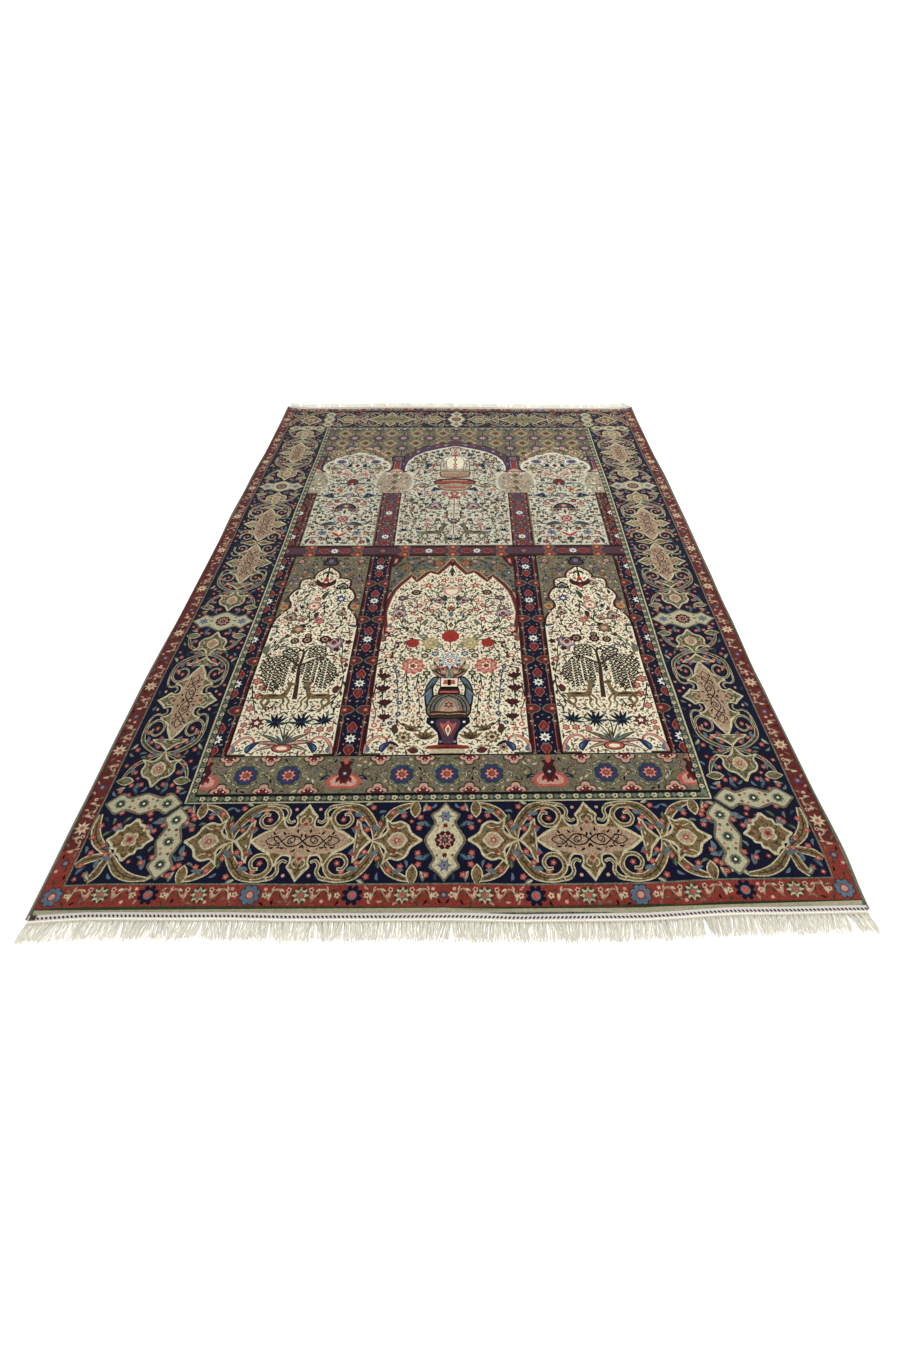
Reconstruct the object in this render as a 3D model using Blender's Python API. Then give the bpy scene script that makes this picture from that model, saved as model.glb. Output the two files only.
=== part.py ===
"""A hand-knotted Persian rug lying on a floor.

The pile cloth and the flat-woven band at each end are one woven piece. An overcast cord is
sewn along each long side, and a row of knotted warp ends makes the fringe at each end.

Metres, +Z up, +Y along the rug towards its far end. The origin is on the floor, under the
middle of the rug with its fringes.
"""

import math
import random
from collections import namedtuple

import bmesh
import bpy
from mathutils import Vector

COLLECTION_NAME = "persian_rug"

# The cloth
HALF_WIDTH = 1.030           # middle of the rug to the outside of a side cord
PILE_HALF_LENGTH = 1.500     # middle of the pile to the crest of its end
PILE_MIDDLE_Y = -0.0075      # the pile lies off centre, because the far fringe is the longer one
PILE_THICKNESS = 0.008
PILE_SHOULDER = 0.010        # width over which the pile rounds off at a side
PILE_SIDE_SHARE = 0.70       # thickness left at the very side, as a share of the whole
CLOTH_ROWS = 34

# The side cords
CORD_DIAMETER = 0.0065
CORD_BEVEL_RESOLUTION = 2    # gives eight sides

# The fringes
FRINGE_REACH = 1.6045        # origin to the farthest strand tip, at both ends
KNOTS_PER_END = 150
KNOT_ROW_WIDTH = 0.0085
KNOTS_PER_COLUMN = 5
CLOTH_COLUMNS = KNOTS_PER_END // KNOTS_PER_COLUMN
FRINGE_SEED = 7

PARTING = 0.0003             # space between neighbouring pieces

# Across an end of the cloth, from the band's outer edge in to the pile: the place outwards
# from the middle of the pile, and the thickness there
EndStep = namedtuple("EndStep", "outwards thickness")
END_PROFILE = (
    EndStep(1.5245, 0.0022),
    EndStep(1.5115, 0.0024),
    EndStep(1.5095, 0.0056),
    EndStep(1.5050, 0.0074),
    EndStep(1.4980, 0.0080),
)

# How far each edge strays outwards from its straight line
Stray = namedtuple("Stray", "along outwards")
LEFT_STRAY = (
    Stray(-1.50, -0.003), Stray(-1.21, 0.001), Stray(-0.90, 0.006), Stray(-0.75, 0.007),
    Stray(-0.36, 0.001), Stray(0.12, -0.001), Stray(0.35, 0.003), Stray(0.61, 0.001),
    Stray(0.91, -0.006), Stray(1.50, -0.003),
)
RIGHT_STRAY = (
    Stray(-1.50, 0.000), Stray(-1.36, 0.007), Stray(-1.14, 0.000), Stray(-0.81, -0.004),
    Stray(-0.67, -0.008), Stray(-0.37, -0.003), Stray(-0.10, 0.002), Stray(0.34, 0.006),
    Stray(0.60, 0.007), Stray(0.90, 0.000), Stray(1.50, 0.000),
)
NEAR_STRAY = (
    Stray(-1.03, 0.003), Stray(-0.90, -0.004), Stray(-0.60, 0.000), Stray(-0.35, 0.006),
    Stray(-0.10, 0.008), Stray(0.15, 0.015), Stray(0.45, 0.016), Stray(0.70, 0.006),
    Stray(1.03, 0.004),
)
FAR_STRAY = (
    Stray(-1.03, 0.010), Stray(-0.93, -0.012), Stray(-0.68, -0.003), Stray(-0.43, 0.006),
    Stray(-0.10, 0.004), Stray(0.15, -0.002), Stray(0.40, -0.011), Stray(0.65, -0.015),
    Stray(0.92, -0.014), Stray(1.03, 0.008),
)
END_STRAY_DEPTH = 0.45       # how far in from an end its straying still pulls the pile

# Low ripples, where the cloth stands off the floor: middle, reach either way, height
Ripple = namedtuple("Ripple", "x y reach_x reach_y height")
RIPPLES = (
    Ripple(0.055, -1.56, 0.13, 0.34, 0.0050),
    Ripple(0.700, -1.56, 0.16, 0.22, 0.0028),
    Ripple(-1.060, 0.78, 0.22, 0.22, 0.0045),
    Ripple(-1.060, 0.26, 0.22, 0.24, 0.0035),
    Ripple(-1.060, -0.62, 0.20, 0.26, 0.0025),
    Ripple(1.060, -0.55, 0.24, 0.30, 0.0045),
    Ripple(1.060, 0.75, 0.20, 0.26, 0.0030),
    Ripple(-1.060, 1.56, 0.22, 0.22, 0.0060),
    Ripple(1.060, 1.56, 0.22, 0.22, 0.0050),
)

# A strand, from its knot to its tip: share of the length, width, thickness
StrandSection = namedtuple("StrandSection", "share width thickness")
STRAND_SECTIONS = (
    StrandSection(0.16, 0.0072, 0.0038),
    StrandSection(0.60, 0.0088, 0.0030),
    StrandSection(1.00, 0.0046, 0.0016),
)
KNOT_THICKNESS = 0.0040
BAND_EDGE_THICKNESS = 0.0024
KNOT_ROW_MIDDLE = END_PROFILE[0].outwards + PARTING + KNOT_ROW_WIDTH / 2.0

# Each end's fringe: side it points to, longest strand, and how the strands lean, in degrees
Fringe = namedtuple("Fringe", "name outwards length corner_lean clump_lean clump_pitch")
FRINGES = (
    Fringe("fringe_near", -1, 0.054, -30.0, 7.0, 0.118),
    Fringe("fringe_far", 1, 0.072, 0.0, 5.0, 0.134),
)
CORNER_LEAN_FADE = 0.06      # distance from the corner over which its lean dies away
LENGTH_SPREAD = 0.10
LEAN_SPREAD = 1.2            # degrees


def smooth_lookup(table, along):
    """Value of a stray table at a place, eased from row to row."""
    if along <= table[0].along:
        return table[0].outwards
    for before, after in zip(table, table[1:]):
        if along <= after.along:
            t = (along - before.along) / (after.along - before.along)
            ease = t * t * (3.0 - 2.0 * t)
            return before.outwards + (after.outwards - before.outwards) * ease
    return table[-1].outwards


def side_reach(side, v):
    """Distance from the middle to the outside of a side cord, at a place along the pile."""
    table = LEFT_STRAY if side < 0 else RIGHT_STRAY
    return HALF_WIDTH + smooth_lookup(table, v)


def cloth_reach(side, v):
    """Distance from the middle to the side of the cloth, inside its cord."""
    return side_reach(side, v) - CORD_DIAMETER - PARTING


def end_pull(u, v):
    """How far the straying of the nearer end moves a point along the rug.

    It runs straight between the cloth's columns, so the cloth and the knot row next to it
    have the same edge.
    """
    station = min(int((u + 1.0) / 2.0 * CLOTH_COLUMNS), CLOTH_COLUMNS - 1)
    left, right = (2.0 * i / CLOTH_COLUMNS - 1.0 for i in (station, station + 1))
    table = FAR_STRAY if v > 0 else NEAR_STRAY
    left_stray, right_stray = (smooth_lookup(table, side * HALF_WIDTH) for side in (left, right))
    stray = left_stray + (right_stray - left_stray) * (u - left) / (right - left)
    share = (abs(v) - (PILE_HALF_LENGTH - END_STRAY_DEPTH)) / END_STRAY_DEPTH
    share = min(max(share, 0.0), 1.0)
    return stray * share * share * math.copysign(1.0, v)


def place(u, v):
    """Plan position of a point: u across from -1 to 1, v along the pile in metres."""
    return u * cloth_reach(u, v), v + end_pull(u, v) + PILE_MIDDLE_Y


def lift(x, y):
    """Height of the cloth's underside over the floor."""
    height = 0.0
    for ripple in RIPPLES:
        across = (x - ripple.x) / ripple.reach_x
        along = (y - ripple.y) / ripple.reach_y
        inside = 1.0 - across * across - along * along
        if inside > 0.0:
            height += ripple.height * inside * inside
    return height


def thickness(u, v):
    """Thickness of the cloth, which rounds off at its sides and steps down at its ends."""
    outwards = abs(v)
    for outer, inner in zip(END_PROFILE, END_PROFILE[1:]):
        if outwards >= inner.outwards:
            share = (outwards - inner.outwards) / (outer.outwards - inner.outwards)
            amount = inner.thickness + (outer.thickness - inner.thickness) * share
            break
    else:
        amount = PILE_THICKNESS
    is_side = abs(u) > 1.0 - 0.5 * PILE_SHOULDER / HALF_WIDTH
    if is_side and amount > END_PROFILE[1].thickness:
        amount *= PILE_SIDE_SHARE
    return amount


def column_places():
    """Places across the cloth, from -1 to 1, with the shoulder next to each side."""
    shoulder = 1.0 - PILE_SHOULDER / HALF_WIDTH
    inner = [2.0 * i / CLOTH_COLUMNS - 1.0 for i in range(1, CLOTH_COLUMNS)]
    return [-1.0, -shoulder] + inner + [shoulder, 1.0]


def row_places():
    """Places along the cloth, with the steps of the end profile at both ends."""
    steps = [step.outwards for step in END_PROFILE]
    inner_end = steps[-1]
    inner = [inner_end * (2.0 * j / CLOTH_ROWS - 1.0) for j in range(1, CLOTH_ROWS)]
    return [-step for step in steps] + inner + steps[::-1]


def fabric(name, colour, roughness):
    material = bpy.data.materials.new(name)
    material.use_nodes = True
    shader = material.node_tree.nodes["Principled BSDF"]
    shader.inputs["Base Color"].default_value = (*colour, 1.0)
    shader.inputs["Roughness"].default_value = roughness
    shader.inputs["Metallic"].default_value = 0.0
    return material


def object_from_bmesh(name, bm, material, collection):
    bmesh.ops.recalc_face_normals(bm, faces=bm.faces)
    mesh = bpy.data.meshes.new(name)
    bm.to_mesh(mesh)
    bm.free()
    mesh.materials.append(material)
    obj = bpy.data.objects.new(name, mesh)
    collection.objects.link(obj)
    return obj


def two_layers(bm, columns, rows):
    """A grid in (u, v) and a copy of it, joined at the rim: the underside and the top."""
    bmesh.ops.create_grid(bm, x_segments=len(columns) - 1, y_segments=len(rows) - 1, size=1.0)
    for vert in bm.verts:
        i = round((vert.co.x + 1.0) / 2.0 * (len(columns) - 1))
        j = round((vert.co.y + 1.0) / 2.0 * (len(rows) - 1))
        vert.co = (columns[i], rows[j], 0.0)
    underside = bm.verts[:]
    sheet = bm.faces[:]
    copied = bmesh.ops.extrude_face_region(bm, geom=sheet, use_keep_orig=True)["geom"]
    top = [item for item in copied if isinstance(item, bmesh.types.BMVert)]
    return underside, top


def make_cloth(collection):
    """The pile and the flat-woven bands at its ends, in one piece."""
    bm = bmesh.new()
    underside, top = two_layers(bm, column_places(), row_places())
    for vert in underside:
        x, y = place(vert.co.x, vert.co.y)
        vert.co = (x, y, lift(x, y))
    for vert in top:
        u, v = vert.co.x, vert.co.y
        x, y = place(u, v)
        vert.co = (x, y, lift(x, y) + thickness(u, v))
    wool = fabric("pile_wool", (0.30, 0.16, 0.12), 0.95)
    return object_from_bmesh("woven_cloth", bm, wool, collection)


def make_side_cord(name, side, collection):
    """An overcast cord, sewn along one side of the cloth."""
    curve = bpy.data.curves.new(name, "CURVE")
    curve.dimensions = "3D"
    curve.bevel_depth = CORD_DIAMETER / 2.0
    curve.bevel_resolution = CORD_BEVEL_RESOLUTION
    curve.use_fill_caps = True
    spline = curve.splines.new("POLY")
    steps = [v for v in row_places() if abs(v) <= PILE_HALF_LENGTH]
    steps = [-END_PROFILE[0].outwards] + steps + [END_PROFILE[0].outwards]
    spline.points.add(len(steps) - 1)
    for point, v in zip(spline.points, steps):
        edge_x, y = place(side, v)
        x = edge_x + side * (PARTING + CORD_DIAMETER / 2.0)
        point.co = (x, y, lift(edge_x, y) + CORD_DIAMETER / 2.0, 1.0)
    curve.materials.append(fabric(name + "_yarn", (0.33, 0.33, 0.27), 0.9))
    obj = bpy.data.objects.new(name, curve)
    collection.objects.link(obj)
    return obj


def strand_plan(fringe):
    """Root, lean and length of each strand, with the longest tip at the fringe's reach."""
    chance = random.Random(FRINGE_SEED + fringe.outwards)
    root_v = fringe.outwards * (KNOT_ROW_MIDDLE + KNOT_ROW_WIDTH / 2.0)
    strands = []
    for i in range(KNOTS_PER_END):
        u = (2.0 * i + 1.0) / KNOTS_PER_END - 1.0
        x, y = place(u, root_v)
        from_corner = x + HALF_WIDTH
        lean = fringe.corner_lean * math.exp(-from_corner / CORNER_LEAN_FADE)
        lean += fringe.clump_lean * math.sin(math.tau * x / fringe.clump_pitch)
        lean += chance.uniform(-LEAN_SPREAD, LEAN_SPREAD)
        length = fringe.length * chance.uniform(1.0 - LENGTH_SPREAD, 1.0)
        strands.append([Vector((x, y, 0.0)), math.radians(lean), length])
    room = min(
        (FRINGE_REACH - abs(root.y)) / (length * math.cos(lean))
        for root, lean, length in strands
    )
    for strand in strands:
        strand[2] *= room
    return strands


def grow_strands(bm, roots, fringe):
    """Each root face is drawn out, section by section, into a strand that lies on the floor."""
    strands = strand_plan(fringe)
    faces = roots
    for section in STRAND_SECTIONS:
        faces = bmesh.ops.extrude_discrete_faces(bm, faces=faces)["faces"]
        faces.sort(key=lambda face: face.calc_center_median().x)
        for face, (root, lean, length) in zip(faces, strands):
            forward = Vector((math.sin(lean), fringe.outwards * math.cos(lean), 0.0))
            across = Vector((math.cos(lean), -fringe.outwards * math.sin(lean), 0.0))
            centre = root + forward * (length * section.share)
            base = lift(root.x, root.y) * (1.0 - section.share) ** 2
            middle = face.calc_center_median()
            for vert in face.verts:
                side = math.copysign(section.width / 2.0, vert.co.x - middle.x)
                level = base + (section.thickness if vert.co.z > middle.z else 0.0)
                vert.co = centre + across * side + Vector((0.0, 0.0, level))


def spare_back_edges(bm, outwards):
    """Edges between knots along the back of the row, which meets the woven band."""
    spare = []
    for edge in bm.edges:
        first, last = (round((vert.co.x + 1.0) / 2.0 * KNOTS_PER_END) for vert in edge.verts)
        reaches_back = any(vert.co.y * outwards < KNOT_ROW_MIDDLE for vert in edge.verts)
        if first == last and reaches_back and first % KNOTS_PER_COLUMN:
            spare.append(edge)
    return spare


def make_fringe(fringe, collection):
    """The row of knots and the strands that hang from it, in one piece."""
    back = KNOT_ROW_MIDDLE - KNOT_ROW_WIDTH / 2.0
    front = KNOT_ROW_MIDDLE + KNOT_ROW_WIDTH / 2.0
    columns = [2.0 * i / KNOTS_PER_END - 1.0 for i in range(KNOTS_PER_END + 1)]
    rows = sorted((fringe.outwards * back, fringe.outwards * front))
    bm = bmesh.new()
    underside, top = two_layers(bm, columns, rows)
    thick_at = {
        fringe.outwards * back: BAND_EDGE_THICKNESS,
        fringe.outwards * front: KNOT_THICKNESS,
    }
    roots = [
        face for face in bm.faces
        if all(abs(vert.co.y) > KNOT_ROW_MIDDLE for vert in face.verts)
        and len({vert.co.x for vert in face.verts}) > 1
    ]
    spare = spare_back_edges(bm, fringe.outwards)
    for vert in underside:
        x, y = place(vert.co.x, vert.co.y)
        vert.co = (x, y, lift(x, y))
    for vert in top:
        row = min(thick_at, key=lambda v: abs(v - vert.co.y))
        x, y = place(vert.co.x, vert.co.y)
        vert.co = (x, y, lift(x, y) + thick_at[row])
    bmesh.ops.dissolve_edges(bm, edges=spare, use_verts=True)
    grow_strands(bm, roots, fringe)
    cotton = fabric(fringe.name + "_cotton", (0.80, 0.76, 0.64), 0.9)
    return object_from_bmesh(fringe.name, bm, cotton, collection)


def main():
    for obj in list(bpy.data.objects):
        bpy.data.objects.remove(obj, do_unlink=True)
    collection = bpy.data.collections.new(COLLECTION_NAME)
    bpy.context.scene.collection.children.link(collection)
    make_cloth(collection)
    make_side_cord("side_cord_left", -1, collection)
    make_side_cord("side_cord_right", 1, collection)
    for fringe in FRINGES:
        make_fringe(fringe, collection)


main()
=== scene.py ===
"""The looks of a hand-knotted Persian rug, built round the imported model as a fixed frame."""

import cmath
import math
import random

import bmesh
import bpy
import numpy as np
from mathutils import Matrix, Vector
from mathutils.geometry import delaunay_2d_cdt, tessellate_polygon


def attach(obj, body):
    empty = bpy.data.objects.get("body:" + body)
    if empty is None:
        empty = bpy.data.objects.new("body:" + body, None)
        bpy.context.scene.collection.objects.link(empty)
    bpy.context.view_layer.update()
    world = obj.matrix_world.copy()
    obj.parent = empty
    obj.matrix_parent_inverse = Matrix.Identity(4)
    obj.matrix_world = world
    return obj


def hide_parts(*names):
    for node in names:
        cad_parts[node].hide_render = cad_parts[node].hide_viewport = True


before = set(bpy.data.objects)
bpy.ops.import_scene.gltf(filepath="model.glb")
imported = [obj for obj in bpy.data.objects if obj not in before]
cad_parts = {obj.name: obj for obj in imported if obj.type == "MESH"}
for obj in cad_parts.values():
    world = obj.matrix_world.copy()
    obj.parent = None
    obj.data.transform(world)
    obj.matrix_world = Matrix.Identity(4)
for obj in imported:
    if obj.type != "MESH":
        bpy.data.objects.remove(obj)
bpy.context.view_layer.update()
BODY = "root"

# ----------------------------------------------------------------------------------------
# The lie of the cloth. The warps are stretched once on the loom, so every woven part of the
# rug follows one plan: edges that stray a little from straight, and low ripples over the floor.

HALF_WIDTH = 1.030           # middle of the rug to the outside of a side cord
PILE_HALF_LENGTH = 1.500     # middle of the pile to the crest of its end
PILE_MIDDLE_Y = -0.0075
END_STRAY_DEPTH = 0.45
CORD_DIAMETER = 0.0065
PARTING = 0.0003
EDGE_STATIONS = 30           # the ends run straight between this many stations

# how far each edge strays from straight, by the place along it, measured on the photo
LEFT_STRAY = np.array([
    (-1.50, -0.003), (-1.21, 0.001), (-0.90, 0.006), (-0.75, 0.007), (-0.36, 0.001),
    (0.12, -0.001), (0.35, 0.003), (0.61, 0.001), (0.91, -0.006), (1.50, -0.003),
])
RIGHT_STRAY = np.array([
    (-1.50, 0.000), (-1.36, 0.007), (-1.14, 0.000), (-0.81, -0.004), (-0.67, -0.008),
    (-0.37, -0.003), (-0.10, 0.002), (0.34, 0.006), (0.60, 0.007), (0.90, 0.000), (1.50, 0.000),
])
NEAR_STRAY = np.array([
    (-1.03, 0.003), (-0.90, -0.004), (-0.60, 0.000), (-0.35, 0.006), (-0.10, 0.008),
    (0.15, 0.015), (0.45, 0.016), (0.70, 0.006), (1.03, 0.004),
])
FAR_STRAY = np.array([
    (-1.03, 0.010), (-0.93, -0.012), (-0.68, -0.003), (-0.43, 0.006), (-0.10, 0.004),
    (0.15, -0.002), (0.40, -0.011), (0.65, -0.015), (0.92, -0.014), (1.03, 0.008),
])
# x, y, reach across, reach along, height
RIPPLES = (
    (0.055, -1.56, 0.13, 0.34, 0.0050), (0.700, -1.56, 0.16, 0.22, 0.0028),
    (-1.060, 0.78, 0.22, 0.22, 0.0045), (-1.060, 0.26, 0.22, 0.24, 0.0035),
    (-1.060, -0.62, 0.20, 0.26, 0.0025), (1.060, -0.55, 0.24, 0.30, 0.0045),
    (1.060, 0.75, 0.20, 0.26, 0.0030), (-1.060, 1.56, 0.22, 0.22, 0.0060),
    (1.060, 1.56, 0.22, 0.22, 0.0050),
)


def eased(table, along):
    """Values of a stray table, eased from row to row."""
    along = np.clip(np.asarray(along, float), table[0, 0], table[-1, 0])
    row = np.clip(np.searchsorted(table[:, 0], along) - 1, 0, len(table) - 2)
    t = (along - table[row, 0]) / (table[row + 1, 0] - table[row, 0])
    return table[row, 1] + (table[row + 1, 1] - table[row, 1]) * t * t * (3.0 - 2.0 * t)


def cloth_reach(u, v):
    side = np.where(np.asarray(u) < 0.0, eased(LEFT_STRAY, v), eased(RIGHT_STRAY, v))
    return HALF_WIDTH + side - CORD_DIAMETER - PARTING


def place(u, v):
    """Plan position of a point: u across from -1 to 1, v along the pile in metres."""
    u, v = np.broadcast_arrays(np.asarray(u, float), np.asarray(v, float))
    stations = np.linspace(-1.0, 1.0, EDGE_STATIONS + 1)
    pull_near = np.interp(u, stations, eased(NEAR_STRAY, stations * HALF_WIDTH))
    pull_far = np.interp(u, stations, eased(FAR_STRAY, stations * HALF_WIDTH))
    share = np.clip((np.abs(v) - PILE_HALF_LENGTH + END_STRAY_DEPTH) / END_STRAY_DEPTH, 0.0, 1.0)
    pull = np.where(v > 0.0, pull_far, -pull_near) * share * share
    return u * cloth_reach(u, v), v + pull + PILE_MIDDLE_Y


def lift(x, y):
    """Height of the cloth's underside over the floor."""
    height = np.zeros(np.shape(x))
    for middle_x, middle_y, reach_x, reach_y, top in RIPPLES:
        inside = 1.0 - ((x - middle_x) / reach_x) ** 2 - ((y - middle_y) / reach_y) ** 2
        height += top * np.clip(inside, 0.0, None) ** 2
    return height


# ----------------------------------------------------------------------------------------
# The pile. Wool knots tied on cotton warps and sheared short. The weaver works from a chart of
# 2.5 mm squares, drawn here for the right half and mirrored. A point of it is a complex number:
# squares across from the middle line, and squares up from the near end.

SQUARE_LENGTH = 0.0025
SQUARES_ACROSS = 400         # from the middle line to a side
SQUARES_ALONG = 1200
MIDDLE_DRIFT = 0.020         # the weaver's middle line lies this share left of the true one

YARNS = {
    "ivory": (236, 226, 195), "cream": (208, 196, 158), "white": (232, 228, 214), "olive": (124, 116, 94),
    "tan": (184, 154, 126), "sage": (116, 122, 102), "moss": (54, 64, 46), "teal": (46, 66, 72),
    "slate": (92, 112, 128), "blue": (44, 62, 104), "navy": (20, 22, 46), "ink": (18, 14, 18),
    "brick": (140, 60, 50), "madder": (106, 44, 42), "maroon": (70, 30, 34), "red": (176, 46, 42),
    "coral": (186, 94, 80), "rose": (206, 156, 138), "orange": (184, 108, 66), "gold": (184, 162, 106),
    "plum": (84, 60, 70), "lilac": (140, 128, 144), "pale": (216, 212, 188), "brown": (64, 44, 36),
    "khaki": (126, 120, 90), "fawn": (134, 112, 76), "dun": (172, 161, 138), "straw": (158, 150, 112),
    "celadon": (184, 178, 146), "russet": (160, 72, 62),
}
YARN_NAMES = list(YARNS)
PLAIN_MOTTLE = 0.3
# how far each yarn's ground is broken up by small dark curls and dye that took unevenly
MOTTLE = {
    "fawn": 0.85, "khaki": 0.9, "straw": 0.75, "olive": 0.60, "tan": 0.55, "cream": 0.45, "dun": 0.5,
    "brick": 0.40, "madder": 0.45, "maroon": 0.5, "sage": 0.6, "celadon": 0.15, "ivory": 0.10, "white": 0.1,
    "navy": 0.4, "gold": 0.5, "pale": 0.4,
}

chart_shapes = []
chart_yarns = []
chart_clips = []


def lay(shape, yarn, clip=None):
    """Adds a patch of one yarn over what lies below it, only where the patch clip reaches."""
    chart_shapes.append(np.asarray(shape, complex))
    chart_yarns.append(YARN_NAMES.index(yarn))
    chart_clips.append(clip)
    return len(chart_shapes) - 1


def put(motif, at=0j, size=1.0, turn=0.0, clip=None, flip=False):
    """Lays a motif, which is a list of (shape, yarn), at a place, size and angle in degrees."""
    spin = size * cmath.exp(1j * math.radians(turn))
    for shape, yarn in motif:
        shape = np.asarray(shape, complex)
        lay((-np.conj(shape) if flip else shape) * spin + at, yarn, clip)


def put_pair(motif, at, middle, size=1.0, turn=0.0, clip=None):
    """Lays a motif and its mirror image, either side of an upright line at middle."""
    put(motif, at, size, turn, clip)
    put(motif, complex(2.0 * middle - at.real, at.imag), size, -turn, clip, flip=True)


def box(left, bottom, right, top):
    return np.array([left + 1j * bottom, right + 1j * bottom, right + 1j * top, left + 1j * top])


def oval(across, along=None, points=5):
    angle = np.arange(points) * math.tau / points
    return across * np.cos(angle) + 1j * (across if along is None else along) * np.sin(angle)


def lobes(radius, count, depth=0.25, points=3, start=0.0):
    """A round outline with equal petals."""
    angle = np.arange(count * points) * math.tau / (count * points)
    dip = 1.0 - np.abs(np.sin(count * angle / 2.0)) ** 0.8
    return radius * (1.0 - depth * dip) * np.exp(1j * (angle + start))


def star(outer, inner, count, start=90.0):
    angle = np.arange(2 * count) * math.pi / count + math.radians(start)
    return np.where(np.arange(2 * count) % 2 == 0, outer, inner) * np.exp(1j * angle)


def leaf(length, width, bend=0.0, points=5, belly=0.45):
    """A leaf from the origin along +x, fullest at belly and curling by bend radians."""
    t = np.linspace(0.0, 1.0, points + 2)
    swell = np.sin(math.pi * t ** (math.log(0.5) / math.log(belly)))
    upper = t * length + 0.5j * width * swell
    lower = np.conj(upper[1:-1][::-1])
    shape = np.concatenate([upper, lower])
    return shape * np.exp(1j * bend * shape.real / length)


def smooth(points, steps=5, closed=False):
    """A smooth line through a few points."""
    p = np.asarray(points, complex)
    padded = np.concatenate([p[-1:], p, p[:2]]) if closed else np.concatenate([
        [2 * p[0] - p[1]], p, [2 * p[-1] - p[-2]],
    ])
    t = np.arange(steps) / steps
    out = []
    for a, b, c, d in zip(padded, padded[1:], padded[2:], padded[3:]):
        out.append(b + 0.5 * t * (c - a + t * (2 * a - 5 * b + 4 * c - d
                                               + t * (3 * (b - c) + d - a))))
    if not closed:
        out.append(p[-1:])
    return np.concatenate(out)


def ribbon(line, width, tip=None):
    """A stripe of a width along a line; tip is its width at the far end."""
    line = np.asarray(line, complex)
    way = np.gradient(line)
    normal = 1j * way / np.abs(way)
    if np.ndim(width) == 0:
        width = np.linspace(width, width if tip is None else tip, len(line))
    half = 0.5 * width
    return np.concatenate([line + normal * half, (line - normal * half)[::-1]])


def spiral(radius, turns, points=14, start=0.0):
    """A line that winds in to the origin."""
    t = np.linspace(0.0, 1.0, points)
    return radius * (1.0 - 0.86 * t) * np.exp(1j * (math.radians(start) + math.tau * turns * t))


def mirrored(shape):
    """Joins the right half of an outline, listed from the bottom up, to its mirror image."""
    shape = np.asarray(shape, complex)
    return np.concatenate([shape, -np.conj(shape[::-1])])


def copies(shape, yarn, spots):
    return [(shape + spot, yarn) for spot in spots]


def redyed(motif, dyes):
    """A motif in other yarns, as far as dyes names them."""
    return [(shape, dyes.get(yarn, yarn)) for shape, yarn in motif]


def rounded(points, steps=3):
    """A smooth outline from the points of its right half, listed from end to end."""
    return mirrored(smooth(points, steps)[:-1])


# Flowers and leaves that recur all over the rug

def blossom(petal, ring, heart, edge="ink", count=6, depth=0.3):
    return [
        (lobes(1.16, count, depth * 0.9, 5), edge),
        (lobes(1.0, count, depth, 5), petal),
        (oval(0.48, points=10), ring),
        (oval(0.24, points=6), heart),
    ]


def floret(petal, heart, count=5):
    return [(lobes(1.0, count, 0.34), petal), (oval(0.36), heart)]


def palmette(outer, inner, heart, edge="ink", lip="white"):
    """A blossom seen from the side, opening along +y, with its foot at the origin."""
    fan = rounded([0.12, 0.62 + 0.1j, 0.78 + 0.45j, 0.58 + 0.62j, 0.66 + 0.95j,
                           0.34 + 1.02j, 0.22 + 1.3j, 0.0 + 1.42j])
    cup = rounded([0.1 + 0.1j, 0.42 + 0.25j, 0.48 + 0.6j, 0.22 + 0.85j, 0.0 + 1.12j])
    bud = rounded([0.05 + 0.22j, 0.22 + 0.36j, 0.2 + 0.6j, 0.0 + 0.85j])
    return [
        ((fan - 0.6j) * 1.14 + 0.6j, edge), (fan, outer),
        ((cup - 0.5j) * 1.12 + 0.5j, lip), (cup, inner), (bud, heart),
        (leaf(0.7, 0.3, 0.9), edge), (-np.conj(leaf(0.7, 0.3, 0.9)), edge),
    ]


def twig(line, width, stem, leaves, every=4.0, reach=4.2, start=2.0, both=False):
    """A stem with leaves set along it, first on one side and then on the other."""
    line = np.asarray(line, complex)
    steps = np.abs(np.diff(line))
    run = np.concatenate([[0.0], np.cumsum(steps)])
    motif = []
    places = np.arange(start, run[-1] - 0.5, every)
    for k, s in enumerate(places):
        spot = np.interp(s, run, line.real) + 1j * np.interp(s, run, line.imag)
        ahead = np.interp(s + 0.5, run, line.real) + 1j * np.interp(s + 0.5, run, line.imag)
        way = cmath.phase(ahead - spot)
        for side in ((1, -1) if both else ((1, -1)[k % 2],)):
            blade = leaf(reach, reach * 0.36, -0.5 * side)
            motif.append((blade * cmath.exp(1j * (way + side * 0.85)) + spot, leaves[k % len(leaves)]))
    motif.append((ribbon(line, width, width * 0.6), stem))
    return motif


# The stripes of the chart, from the outside in: half its width, its bottom and its top
PILE = (400.0, -4.5, 1204.5)
GUARD_INNER = (379.6, 22.8, 1186.4)
BORDER_OUTER = (378.0, 24.4, 1184.8)
BORDER_INNER = (288.0, 117.0, 1092.0)
FIELD = (278.0, 127.0, 1082.0)
BAR_BOTTOM = 592.0
BAR_TOP = 623.0


def stripe(size, yarn, clip=None):
    """A rectangle of the chart, with points along its edges for the lie of the cloth."""
    half, bottom, top = size
    xs = np.linspace(0.0, half, round(half / 10.0) + 1)
    ys = np.linspace(bottom, top, round((top - bottom) / 10.0) + 1)
    shape = np.concatenate([xs + 1j * bottom, half + 1j * ys[1:], xs[::-1][1:] + 1j * top,
                            1j * ys[::-1][1:-1]])
    return lay(shape, yarn, clip)


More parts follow.
